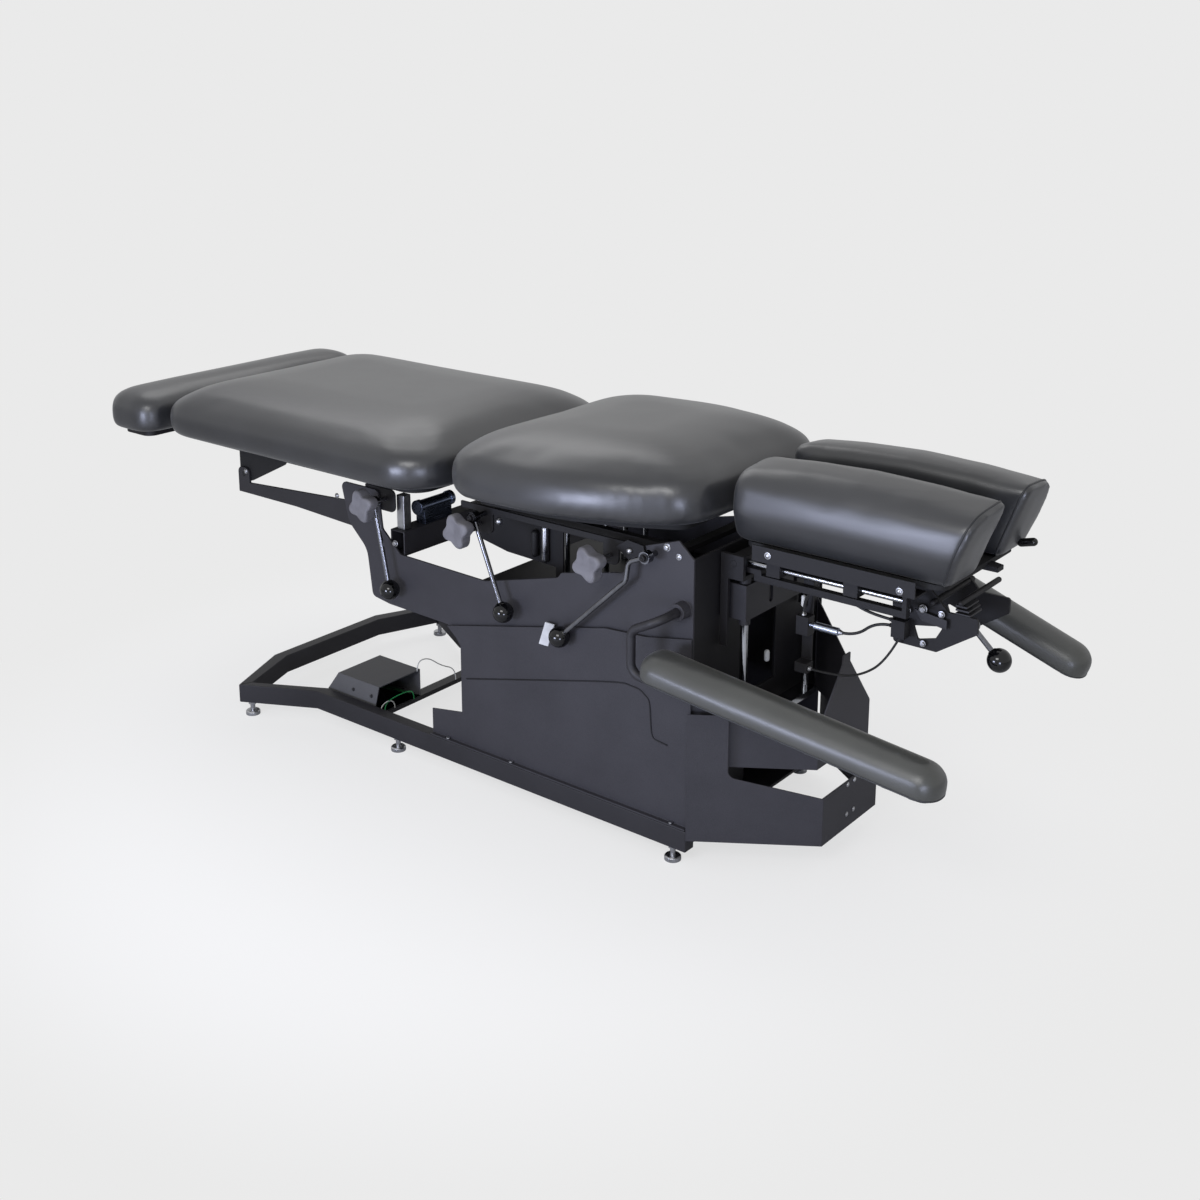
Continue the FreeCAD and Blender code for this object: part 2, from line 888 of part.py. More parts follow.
def tapered_box(foot_x, head_x, near_y, far_y, top_foot_x, top_near_y, low, high):
    lower = Part.makePolygon(
        [
            V(foot_x, near_y, low),
            V(head_x, near_y, low),
            V(head_x, far_y, low),
            V(foot_x, far_y, low),
            V(foot_x, near_y, low),
        ]
    )
    upper = Part.makePolygon(
        [
            V(top_foot_x, top_near_y, high),
            V(head_x, top_near_y, high),
            V(head_x, far_y, high),
            V(top_foot_x, far_y, high),
            V(top_foot_x, top_near_y, high),
        ]
    )
    return Part.makeLoft([lower, upper], True, True)


box_outer = tapered_box(
    box_foot_x, box_head_x, -rail_inner_y, box_far_y, box_top_foot_x, box_top_near_y, pan_top, box_top_z
)
box_hollow = tapered_box(
    box_foot_x + box_wall,
    box_head_x + cut_overrun,
    -rail_inner_y + box_wall,
    box_far_y - box_wall,
    box_top_foot_x + box_wall,
    box_top_near_y + box_wall,
    pan_top + box_wall,
    box_top_z - box_wall,
)
parts["control_box_housing"] = box_outer.cut(box_hollow)
board_low = pan_top + box_wall
board_near_y = -rail_inner_y + box_wall + board_margin
board_far_y = box_far_y - box_wall - board_margin
board_plate = block(
    box_foot_x + board_foot_margin,
    box_head_x - board_head_margin,
    board_near_y,
    board_far_y,
    board_low,
    board_low + board_thickness,
)
relay_size = board_parts_height
relays = [
    block(
        box_head_x - board_head_margin - (i + 1) * relay_size - i * board_margin,
        box_head_x - board_head_margin - i * relay_size - i * board_margin,
        board_near_y + board_margin + j * 2 * relay_size,
        board_near_y + board_margin + j * 2 * relay_size + relay_size,
        board_low + board_thickness,
        board_low + board_thickness + board_parts_height,
    )
    for i in range(3)
    for j in range(3)
]
parts["control_circuit_board"] = fused(board_plate, *relays)

# Loose wires in front of the open end of the control box: shares of the way across and of the rise
wire_x = box_head_x + wire_radius
green_wire_shares = ((0.0, 0.0), (0.0, 0.75), (0.3, 1.0), (0.75, 1.0), (1.0, 0.75), (1.0, 0.0))
short_wire_shares = ((0.0, 0.0), (0.0, 0.6), (0.5, 0.95), (1.0, 0.6), (1.0, 0.0))
thin_wire_shares = ((0.0, 0.0), (0.0, -0.35), (0.28, -0.35), (0.62, 0.2), (1.0, 0.55), (1.0, 1.0))


def wire_route(shares, near_y, far_y, start_z, rise):
    return [V(wire_x, near_y + (far_y - near_y) * across, start_z + rise * up) for across, up in shares]


wire_routes = {
    "green wire": wire_route(green_wire_shares, green_wire_near_y, green_wire_far_y, pan_top, wire_rise),
    "short wire": wire_route(short_wire_shares, short_wire_near_y, short_wire_far_y, pan_top, wire_rise),
    "thin wire": wire_route(
        thin_wire_shares, thin_wire_near_y, thin_wire_far_y, box_top_z - wire_radius, pan_top - box_top_z + wire_radius
    ),
}
parts["control_wires"] = Part.makeCompound(
    [hose(wire_name, route, wire_radius) for wire_name, route in wire_routes.items()]
)


# Moving upper frame
def side_plate():
    outline = [
        (plate_foot_x, plate_top_z, plate_corner_radius),
        (plate_shoulder_x, plate_shoulder_z, plate_curve_radius),
        (plate_waist_x, plate_waist_z, plate_curve_radius),
        (plate_heel_x, plate_heel_z, plate_corner_radius),
        (plate_sole_x, plate_sole_z, plate_corner_radius),
        (cover_top_foot_x, plate_sole_z - cut_overrun, 0),
        (plate_skirt_x, plate_skirt_z + plate_curve_radius, 0),
        (plate_skirt_x + plate_curve_radius, plate_skirt_z, 0),
        (plate_head_x, plate_skirt_z, 0),
        (plate_head_x, tower_top_z - tower_chamfer, 0),
        (plate_head_x - tower_chamfer, tower_top_z - cut_overrun, 0),
        (tower_foot_x + tower_chamfer, tower_top_z - tower_chamfer, window_corner_radius),
        (tower_foot_x, plate_top_head_z, window_corner_radius),
        (window_head_x + window_corner_radius, plate_top_head_z - tower_chamfer, window_corner_radius),
        (window_head_x, window_head_z, window_corner_radius),
        (window_low_x, window_low_z, plate_curve_radius),
        (window_tip_x, window_tip_z, plate_corner_radius),
        (plate_arm_low_x, plate_arm_low_z, plate_corner_radius),
        (plate_arm_head_x, plate_top_z, plate_corner_radius),
    ]
    return upright_plate(outline, -plate_outer_y, -plate_inner_y)


beam_outer = block(
    beam_foot_x, beam_foot_x + beam_width, -plate_inner_y, plate_inner_y, beam_bottom, beam_bottom + beam_height
)
beam_bore = block(
    beam_foot_x + beam_wall,
    beam_foot_x + beam_width - beam_wall,
    -plate_inner_y - cut_overrun,
    plate_inner_y + cut_overrun,
    beam_bottom + beam_wall,
    beam_bottom + beam_height - beam_wall,
)
parts["cross_beam"] = beam_outer.cut(beam_bore)
deck_top = deck_bottom + deck_thickness
parts["lift_deck"] = block(deck_foot_x, tower_plate_x, -plate_inner_y, plate_inner_y, deck_bottom, deck_top)
inner_columns = [
    square_tube(x, column_inner_size, column_inner_wall, column_inner_bottom, deck_bottom)
    for x in (column_foot_x, column_head_x)
]
actuator_rod = pin_z(actuator_x, 0, actuator_rod_bottom, deck_bottom, actuator_rod_radius)
parts["lift_columns_inner"] = Part.makeCompound(inner_columns + [actuator_rod])
tower_sheet = block(
    tower_plate_x,
    tower_plate_x + tower_plate_thickness,
    -plate_inner_y,
    plate_inner_y,
    tower_plate_low_z,
    tower_plate_top_z,
)
tower_opening = block(
    tower_plate_x - cut_overrun,
    tower_plate_x + tower_plate_thickness + cut_overrun,
    -tower_window_half_width,
    tower_window_half_width,
    tower_window_low_z,
    tower_window_top_z,
)
parts["tower_end_plate"] = tower_sheet.cut(tower_opening)


def head_shroud():
    sheet = bent_sheet(
        shroud_start_x,
        shroud_start_y,
        shroud_corner_x,
        shroud_corner_y,
        shroud_wall,
        shroud_bottom,
        shroud_start_top,
    )
    side_trim = upright_plate(
        [
            (shroud_start_x - cut_overrun, shroud_start_top, 0),
            (shroud_corner_x - shroud_wall, shroud_corner_top, 0),
            (shroud_corner_x - shroud_wall, shroud_start_top + cut_overrun, 0),
            (shroud_start_x - cut_overrun, shroud_start_top + cut_overrun, 0),
        ],
        -shroud_start_y,
        shroud_start_y,
    )
    over = shroud_corner_y + cut_overrun
    near_cut = Part.makePolygon(
        [
            V(shroud_corner_x - shroud_wall - cut_overrun, -over, shroud_corner_top),
            V(shroud_corner_x - shroud_wall - cut_overrun, -shroud_middle_half_width, shroud_middle_top),
            V(shroud_corner_x - shroud_wall - cut_overrun, -shroud_middle_half_width, shroud_start_top + cut_overrun),
            V(shroud_corner_x - shroud_wall - cut_overrun, -over, shroud_start_top + cut_overrun),
            V(shroud_corner_x - shroud_wall - cut_overrun, -over, shroud_corner_top),
        ]
    )
    wedge = Part.Face(near_cut).extrude(V(shroud_wall + 2 * cut_overrun, 0, 0))
    return sheet.cut([side_trim, wedge, far_copy(wedge)])


parts["head_shroud"] = head_shroud()


# Leg section
def support_arm():
    bar = upright_plate(
        [
            (arm_foot_x, arm_foot_bottom, 0),
            (arm_step_x, arm_foot_bottom, 0),
            (arm_head_x, arm_head_bottom, 0),
            (arm_head_x, arm_head_top, 0),
            (leg_pivot_x + leg_pivot_ear_width / 2, arm_foot_top, 0),
            (leg_pivot_x + leg_pivot_ear_width / 2, leg_pivot_ear_top, plate_corner_radius),
            (arm_foot_x, leg_pivot_ear_top, plate_corner_radius),
        ],
        -plate_inner_y,
        -plate_inner_y + arm_thickness,
    )
    pin_bore = pin_y(
        leg_pivot_x,
        leg_pivot_z,
        -plate_inner_y - cut_overrun,
        -plate_inner_y + arm_thickness + cut_overrun,
        leg_pivot_pin_radius + running_gap,
    )
    return bar.cut(pin_bore)


arm_inner_y = plate_inner_y - arm_thickness
parts["leg_support_arms"] = Part.makeCompound([support_arm(), far_copy(support_arm())])

leg_corners = [
    (leg_foot_x, -leg_half_width, leg_foot_corner),
    (leg_head_x, -leg_half_width, leg_head_corner),
    (leg_head_x, leg_half_width, leg_head_corner),
    (leg_foot_x, leg_half_width, leg_foot_corner),
]
cushion_draw_in = 170.0
cushion_pull_share = 0.006
parts["leg_cushion"] = cushion(leg_corners, leg_bottom_z, leg_height, leg_crown, cushion_draw_in, cushion_pull_share)


def leg_board():
    outline = board_outline(leg_corners, leg_board_inset)
    low = leg_bottom_z - leg_board_thickness
    board = flat_plate(outline, low, leg_bottom_z)
    near_y = -arm_inner_y + side_gap
    bracket = upright_plate(
        [
            (arm_foot_x, low, 0),
            (arm_foot_x, leg_bracket_nose_z, plate_corner_radius),
            (leg_pivot_x + leg_pivot_ear_width / 2, leg_bracket_nose_z, plate_corner_radius),
            (arm_foot_x + leg_bracket_length, leg_bracket_tail_z, plate_corner_radius),
            (arm_foot_x + leg_bracket_length, low, 0),
        ],
        near_y,
        near_y + leg_bracket_thickness,
    )
    hinge_pin = pin_y(leg_pivot_x, leg_pivot_z, -plate_inner_y, near_y + leg_bracket_thickness, leg_pivot_pin_radius)
    blocks = []
    for centre_x in (leg_foot_x + leg_board_inset, leg_foot_x + leg_board_inset + footrest_block_spacing):
        guide = block(
            centre_x,
            centre_x + footrest_block_length,
            -footrest_rod_y - footrest_block_width / 2,
            -footrest_rod_y + footrest_block_width / 2,
            footrest_rod_z - footrest_block_height / 2,
            low,
        )
        bore = pin_x(
            -footrest_rod_y,
            footrest_rod_z,
            centre_x - cut_overrun,
            centre_x + footrest_block_length + cut_overrun,
            footrest_rod_radius + running_gap,
        )
        blocks.append(guide.cut(bore))
    half = [bracket, hinge_pin] + blocks
    return fused(board, *(half + [far_copy(piece) for piece in half]))


parts["leg_board"] = leg_board()

footrest_corners = [
    (-half_length, -footrest_half_width, footrest_corner),
    (footrest_head_x, -footrest_half_width, footrest_corner),
    (footrest_head_x, footrest_half_width, footrest_corner),
    (-half_length, footrest_half_width, footrest_corner),
]
footrest_draw_in = 64.0
parts["footrest_cushion"] = cushion(
    footrest_corners,
    footrest_bottom_z,
    footrest_height,
    footrest_crown,
    footrest_draw_in,
    cushion_pull_share,
    footrest_corner_loss_share,
)


def footrest_carrier():
    outline = board_outline(footrest_corners, footrest_board_inset)
    low = footrest_bottom_z - footrest_board_thickness
    board = flat_plate(outline, low, footrest_bottom_z)
    rod_start = footrest_head_x - footrest_board_inset - footrest_end_block_length
    end_block = block(
        rod_start,
        rod_start + footrest_end_block_length,
        -footrest_rod_y - footrest_block_width / 2,
        -footrest_rod_y + footrest_block_width / 2,
        footrest_rod_z - footrest_block_height / 2,
        low,
    )
    slide_rod = pin_x(-footrest_rod_y, footrest_rod_z, rod_start, rod_start + footrest_rod_reach, footrest_rod_radius)
    half = [end_block, slide_rod]
    return fused(board, *(half + [far_copy(piece) for piece in half]))


parts["footrest_carrier"] = footrest_carrier()

# Pelvic drop latch on the cross beam
beam_top = beam_bottom + beam_height
latch_post = block(
    latch_post_x - latch_post_size / 2,
    latch_post_x + latch_post_size / 2,
    -latch_post_y - latch_post_size / 2,
    -latch_post_y + latch_post_size / 2,
    beam_top,
    latch_post_top,
)
parts["pelvic_latch_posts"] = Part.makeCompound([latch_post, far_copy(latch_post)])
saddle_half = air_cylinder_saddle_width / 2
air_cylinder_saddle = block(
    air_cylinder_x - saddle_half,
    air_cylinder_x + saddle_half,
    air_cylinder_y + air_cylinder_cap_length,
    air_cylinder_y + air_cylinder_length - air_cylinder_cap_length,
    beam_top,
    air_cylinder_z,
)
air_cylinder_body = pin_y(
    air_cylinder_x, air_cylinder_z, air_cylinder_y, air_cylinder_y + air_cylinder_length, air_cylinder_radius
)
air_cylinder_caps = [
    pin_y(air_cylinder_x, air_cylinder_z, y, y + air_cylinder_cap_length, air_cylinder_cap_radius)
    for y in (air_cylinder_y, air_cylinder_y + air_cylinder_length - air_cylinder_cap_length)
]
parts["pelvic_air_cylinder"] = fused(air_cylinder_body, air_cylinder_saddle, *air_cylinder_caps)

# Chest section
chest_corners = [
    (chest_foot_x, -chest_half_width, chest_foot_corner),
    (chest_taper_x, -chest_half_width, chest_taper_corner),
    (chest_head_x, -chest_head_half_width, chest_head_corner),
    (chest_head_x, chest_head_half_width, chest_head_corner),
    (chest_taper_x, chest_half_width, chest_taper_corner),
    (chest_foot_x, chest_half_width, chest_foot_corner),
]
chest_hinge = V(chest_foot_x, 0, chest_bottom_z)


def tilted(shape):
    turned = shape.copy()
    turned.rotate(chest_hinge, Y_AXIS, -chest_tilt_degrees)
    return turned


parts["chest_cushion"] = tilted(
    cushion(chest_corners, chest_bottom_z, chest_height, chest_crown, cushion_draw_in, cushion_pull_share)
)
chest_pivot_z = lumbar_bar_bottom_z + lumbar_bar_height / 2


def chest_board():
    outline = board_outline(chest_corners, chest_board_inset)
    low = chest_bottom_z - chest_board_thickness
    board = tilted(flat_plate(outline, low, chest_bottom_z))
    inner = lumbar_bar_y - lumbar_bar_width / 2 - lumbar_ear_gap
    ear = upright_plate(
        [
            (chest_pivot_x - chest_ear_width / 2, chest_pivot_z - chest_ear_width / 2, 0),
            (chest_pivot_x + chest_ear_width / 2, chest_pivot_z - chest_ear_width / 2, 0),
            (chest_pivot_x + chest_ear_width / 2, low + cover_wall, 0),
            (chest_pivot_x - chest_ear_width / 2, low + cover_wall, 0),
        ],
        -inner,
        -inner + chest_ear_thickness,
    )
    pivot_pin = pin_y(
        chest_pivot_x, chest_pivot_z, -inner - lumbar_ear_gap - lumbar_bar_width, -inner, chest_pin_radius
    )
    half = [ear, pivot_pin]
    return fused(board, *(half + [far_copy(piece) for piece in half]))


parts["chest_board"] = chest_board()


def lumbar_frame():
    outer = lumbar_bar_y + lumbar_bar_width / 2
    side = block(
        lumbar_bar_foot_x,
        lumbar_bar_head_x,
        -outer,
        -outer + lumbar_bar_width,
        lumbar_bar_bottom_z,
        lumbar_bar_bottom_z + lumbar_bar_height,
    )
    chest_bore = pin_y(
        chest_pivot_x,
        chest_pivot_z,
        -outer - cut_overrun,
        -outer + lumbar_bar_width + cut_overrun,
        chest_pin_radius + running_gap,
    )
    pivot_pin = pin_y(lumbar_pivot_x, chest_pivot_z, -plate_inner_y, -outer, chest_pin_radius)
    ties = []
    for x in (lumbar_bar_foot_x + 2 * lumbar_tie_width, lumbar_bar_head_x - lumbar_tie_width):
        ties.append(
            block(
                x,
                x + lumbar_tie_width,
                -outer + lumbar_bar_width,
                outer - lumbar_bar_width,
                lumbar_bar_bottom_z,
                lumbar_bar_bottom_z + lumbar_bar_height / 2,
            )
        )
    near = fused(side.cut(chest_bore), pivot_pin)
    return fused(near, far_copy(near), *ties)


parts["lumbar_frame"] = lumbar_frame()


def guide_rods():
    rods = []
    for x_share, y_share in guide_rod_places_share:
        x = x_share * chest_head_x
        y = y_share * plate_inner_y
        rods.append(
            fused(
                pin_z(x, y, deck_top, guide_rod_top, guide_rod_radius),
                pin_z(x, y, deck_top, deck_top + guide_collar_height, guide_collar_radius),
            )
        )
    return rods


parts["drop_guide_rods"] = Part.makeCompound(guide_rods())


# Levers with ball knobs, on studs through the near side plate
def lever_hub(x, z, y):
    return pin_y(x, z, -y - hub_length / 2, -y + hub_length / 2, hub_radius)


def ball_knob(x, y, z, stem_direction):
    direction = V(stem_direction).normalize()
    ball = Part.makeSphere(ball_radius, V(x, y, z), direction)
    flat_at = V(x, y, z) + direction * (ball_radius - ball_flat / 2)
    cutter = Part.makeCylinder(ball_radius, ball_radius, flat_at, direction)
    bore = Part.makeCylinder(lever_rod_radius, ball_radius + cut_overrun, V(x, y, z), direction)
    return ball.cut([cutter, bore])


def lumbar_lever():
    start = V(lumbar_lever_pivot_x, -lever_y, lumbar_lever_pivot_z)
    end = V(lumbar_ball_x, -lever_y, lumbar_ball_z)
    stud = pin_y(lumbar_lever_pivot_x, lumbar_lever_pivot_z, -lever_y, -plate_inner_y, lever_stud_radius)
    hub = lever_hub(lumbar_lever_pivot_x, lumbar_lever_pivot_z, lever_y)
    return fused(bar_between(start, end, lever_rod_radius), hub, stud)


# The pelvic lever turns on the stud of its tension knob.
def pelvic_lever():
    start = V(pelvic_knob_x, -lever_y, pelvic_knob_z)
    end = V(pelvic_ball_x, -lever_y, pelvic_ball_z)
    bore = pin_y(
        pelvic_knob_x, pelvic_knob_z, -lever_y - hub_length, -lever_y + hub_length, knob_stud_radius + running_gap
    )
    lever = fused(bar_between(start, end, lever_rod_radius), lever_hub(pelvic_knob_x, pelvic_knob_z, lever_y))
    return lever.cut(bore)


def thoracic_lever():
    points = [
        V(thoracic_lever_pivot_x, -lever_y, thoracic_lever_pivot_z),
        V(thoracic_bend_high_x, -lever_y, thoracic_bend_high_z),
        V(thoracic_bend_low_x, -lever_y, thoracic_bend_low_z),
        V(thoracic_ball_x, -lever_y, thoracic_ball_z),
    ]
    bar = bent_bar(points, lever_bend_radius, lever_rod_radius)
    stud = pin_y(thoracic_lever_pivot_x, thoracic_lever_pivot_z, -lever_y, -plate_outer_y, lever_stud_radius)
    return fused(bar, lever_hub(thoracic_lever_pivot_x, thoracic_lever_pivot_z, lever_y), stud)


lever_balls = {
    "pelvic_ball_knob": (pelvic_ball_x, pelvic_ball_z, pelvic_knob_x, pelvic_knob_z),
    "lumbar_ball_knob": (lumbar_ball_x, lumbar_ball_z, lumbar_lever_pivot_x, lumbar_lever_pivot_z),
    "thoracic_ball_knob": (thoracic_ball_x, thoracic_ball_z, thoracic_bend_low_x, thoracic_bend_low_z),
}
parts["pelvic_lever"] = pelvic_lever()
parts["lumbar_lever"] = lumbar_lever()
parts["thoracic_lever"] = thoracic_lever()
for ball_name, (ball_x, ball_z, toward_x, toward_z) in lever_balls.items():
    parts[ball_name] = ball_knob(ball_x, -lever_y, ball_z, V(toward_x - ball_x, 0, toward_z - ball_z))


# Four-lobed tension knob on a threaded stud, facing the near side
def star_knob(x, z):
    corners = []
    for i in range(8):
        turn = (i + 0.5) * math.pi / 4
        lobe = i % 2 == 0
        reach = knob_corner_reach if lobe else knob_valley_reach
        rounding = knob_lobe_radius if lobe else knob_valley_round
        corners.append((x + reach * math.cos(turn), z + reach * math.sin(turn), rounding))
    outer = -knob_y - knob_thickness / 2
    body = upright_plate(corners, outer, outer + knob_thickness)
    boss = pin_y(x, z, outer + knob_thickness, outer + knob_thickness + knob_boss_length, knob_boss_radius)
    stud = pin_y(x, z, outer + knob_thickness + knob_boss_length, -plate_inner_y, knob_stud_radius)
    return fused(body, boss, stud)


knob_places = {
    "pelvic_star_knob": (pelvic_knob_x, pelvic_knob_z),
    "lumbar_star_knob": (lumbar_knob_x, lumbar_knob_z),
    "thoracic_star_knob": (thoracic_knob_x, thoracic_knob_z),
}
for knob_name, (knob_x, knob_z) in knob_places.items():
    parts[knob_name] = star_knob(knob_x, knob_z)


# Plates on the inner face of the near side plate that carry the lumbar and pelvic controls
def control_rail():
    face_y = -plate_inner_y
    top = control_rail_bottom + control_rail_height
    rail = block(
        control_rail_foot_x, control_rail_head_x, face_y, face_y + control_plate_thickness, control_rail_bottom, top
    )
    lumbar_lug = upright_plate(
        [
            (lumbar_knob_x - control_lug_margin, lumbar_knob_z - control_lug_margin, plate_corner_radius),
            (lumbar_lever_pivot_x + control_lug_margin, lumbar_knob_z - control_lug_margin, plate_corner_radius),
            (lumbar_lever_pivot_x + control_lug_margin, top, 0),
            (lumbar_knob_x - control_lug_margin, top, 0),
        ],
        face_y,
        face_y + control_plate_thickness,
    )
    thoracic_lug = upright_plate(
        [
            (thoracic_knob_x - control_lug_margin, thoracic_knob_z - control_lug_margin, plate_corner_radius),
            (thoracic_knob_x + control_lug_margin, thoracic_knob_z - control_lug_margin, plate_corner_radius),
            (thoracic_knob_x + control_lug_margin, top, 0),
            (thoracic_knob_x - control_lug_margin, top, 0),
        ],
        face_y,
        face_y + control_plate_thickness,
    )
    return fused(rail, lumbar_lug, thoracic_lug)


pelvic_plate = upright_plate(
    [
        (pelvic_plate_foot_x, pelvic_plate_bottom, 0),
        (pelvic_plate_head_x, pelvic_plate_bottom, plate_corner_radius),
        (pelvic_plate_head_x, pelvic_plate_top, plate_corner_radius),
        (pelvic_plate_foot_x, pelvic_plate_top, 0),
    ],
    -plate_inner_y,
    -plate_inner_y + control_plate_thickness,
)
parts["control_plates"] = Part.makeCompound([control_rail(), pelvic_plate])


# Armrests: the far one hangs higher at its root and is turned further down
armrest_sets = {
    "near": (armrest_root_z, armrest_tilt_degrees),
    "far": (far_armrest_root_z, far_armrest_tilt_degrees),
}


def turned_down(shape, side):
    root_z, tilt = armrest_sets[side]
    moved = shape.copy()
    moved.rotate(V(armrest_root_x, 0, root_z), Y_AXIS, tilt)
    return moved


def armrest_outline(root_corner, tip_corner):
    return [
        (armrest_root_x, -armrest_centre_y - armrest_root_half_width, root_corner),
        (half_length, -armrest_centre_y - armrest_tip_half_width, tip_corner),
        (half_length, -armrest_centre_y + armrest_tip_half_width, tip_corner),
        (armrest_root_x, -armrest_centre_y + armrest_root_half_width, root_corner),
    ]


armrest_shift = {}
turned_pads = {}
for side_name, (pad_root_z, _) in armrest_sets.items():
    flat_pad = cushion(
        armrest_outline(armrest_root_corner, armrest_tip_corner),
        pad_root_z,
        armrest_pad_height,
        armrest_crown,
        armrest_draw_in,
        0,
        armrest_corner_loss_share,
    )
    turned_pad = turned_down(flat_pad, side_name)
    armrest_shift[side_name] = half_length - turned_pad.BoundBox.XMax
    turned_pad.translate(V(armrest_shift[side_name], 0, 0))
    turned_pads[side_name] = turned_pad
parts["near_armrest_pad"] = turned_pads["near"]
parts["far_armrest_pad"] = far_copy(turned_pads["far"])


def armrest_plate(side):
    root_z = armrest_sets[side][0]
    plate = flat_plate(
        drawn_in(armrest_outline(armrest_plate_corner, armrest_plate_corner), armrest_plate_inset),
        root_z - armrest_plate_thickness,
        root_z,
    )
    plate = turned_down(plate, side)
    plate.translate(V(armrest_shift[side], 0, 0))
    return plate


def near_armrest_bracket():
    fall = math.tan(math.radians(armrest_tilt_degrees))
    tube_top_z = armrest_root_z - armrest_plate_thickness + weld_depth
    loop_low_z = tube_top_z - armrest_tube_radius + (armrest_root_x - armrest_loop_x) * fall
    run_end_z = loop_low_z - (armrest_run_end_x - armrest_loop_x) * fall
    points = [
        V(armrest_pivot_x, -plate_outer_y - side_gap, armrest_pivot_z),
        V(armrest_pivot_x, -armrest_centre_y, armrest_pivot_z),
        V(armrest_loop_x, -armrest_centre_y, armrest_loop_high_z),
        V(armrest_loop_x, -armrest_centre_y, loop_low_z),
        V(armrest_run_end_x, -armrest_centre_y, run_end_z),
    ]
    tube = bent_bar(points, armrest_bend_radius, armrest_tube_radius)
    return fused(armrest_plate("near"), tube)


# The far tube turns once and runs along under its pad plate.
def far_armrest_bracket():
    fall = math.tan(math.radians(far_armrest_tilt_degrees))
    run = armrest_run_end_x - armrest_pivot_x
    points = [
        V(armrest_pivot_x, -plate_outer_y - side_gap, far_armrest_pivot_z),
        V(armrest_pivot_x, -armrest_centre_y, far_armrest_pivot_z),
        V(armrest_run_end_x, -armrest_centre_y, far_armrest_pivot_z - run * fall),
    ]
    tube = bent_bar(points, armrest_bend_radius, armrest_tube_radius)
    return fused(armrest_plate("far"), tube)


def armrest_socket(pivot_z):
    outer = pin_y(
        armrest_pivot_x, pivot_z, -plate_outer_y - armrest_socket_length, -plate_outer_y, armrest_socket_radius
    )
    bore = pin_y(
        armrest_pivot_x,
        pivot_z,
        -plate_outer_y - armrest_socket_length - cut_overrun,
        -plate_outer_y + cut_overrun,
        armrest_tube_radius + running_gap,
    )
    return outer.cut(bore)


parts["near_armrest_bracket"] = near_armrest_bracket()
parts["far_armrest_bracket"] = far_copy(far_armrest_bracket())


def stud_bores():
    bores = [
        pin_y(x, z, -plate_outer_y - cut_overrun, -plate_inner_y + cut_overrun, knob_stud_radius + running_gap)
        for x, z in knob_places.values()
    ]
    bores.append(
        pin_y(
            lumbar_lever_pivot_x,
            lumbar_lever_pivot_z,
            -plate_outer_y - cut_overrun,
            -plate_inner_y + cut_overrun,
            lever_stud_radius + running_gap,
        )
    )
    return bores


near_plate = fused(side_plate(), armrest_socket(armrest_pivot_z)).cut(stud_bores())
far_plate = far_copy(fused(side_plate(), armrest_socket(far_armrest_pivot_z)))
parts["side_plates"] = Part.makeCompound([near_plate, far_plate])


# Head lift: sleeves on the tower, posts and yoke that rise through them
tower_face_x = tower_plate_x + tower_plate_thickness
sleeve_radius = post_radius + sleeve_wall


def post_sleeve():
    outer = pin_z(post_x, -post_y, sleeve_bottom, sleeve_top, sleeve_radius)
    bore = pin_z(post_x, -post_y, sleeve_bottom - cut_overrun, sleeve_top + cut_overrun, post_radius + running_gap)
    return outer.cut(bore)


def sleeve_bracket():
    half = post_y + sleeve_radius + sleeve_bracket_wall
    body = block(tower_face_x, sleeve_bracket_head_x, -half, half, sleeve_bracket_bottom, sleeve_bracket_top)
    inside = post_y - sleeve_radius - sleeve_bracket_wall
    hollow = block(
        tower_face_x - cut_overrun,
        sleeve_bracket_head_x - sleeve_bracket_wall,
        -inside,
        inside,
        sleeve_bracket_bottom - cut_overrun,
        sleeve_bracket_top + cut_overrun,
    )
    bores = [
        pin_z(post_x, y, sleeve_bracket_bottom - cut_overrun, sleeve_bracket_top + cut_overrun, sleeve_radius)
        for y in (-post_y, post_y)
    ]
    middle_z = (sleeve_bracket_bottom + sleeve_bracket_top) / 2
    slots = []
    for y in (-slot_y, slot_y):
        for z in (middle_z - slot_length / 2, middle_z + slot_length / 2):
            slots.append(
                pin_x(y, z, sleeve_bracket_head_x - 2 * sleeve_bracket_wall, sleeve_bracket_head_x + cut_overrun, slot_radius)
            )
        slots.append(
            block(
                sleeve_bracket_head_x - 2 * sleeve_bracket_wall,
                sleeve_bracket_head_x + cut_overrun,
                y - slot_radius,
                y + slot_radius,
                middle_z - slot_length / 2,
                middle_z + slot_length / 2,
            )
        )
    return body.cut([hollow] + bores + slots)


parts["sleeve_bracket"] = fused(sleeve_bracket(), post_sleeve(), far_copy(post_sleeve()))
post = pin_z(post_x, -post_y, post_bottom, yoke_bottom, post_radius)
post_tie = block(
    post_x - post_tie_margin,
    post_x + post_tie_margin,
    -post_y - post_tie_margin,
    post_y + post_tie_margin,
    post_bottom - post_tie_thickness,
    post_bottom,
)
parts["head_posts"] = fused(post, far_copy(post), post_tie)


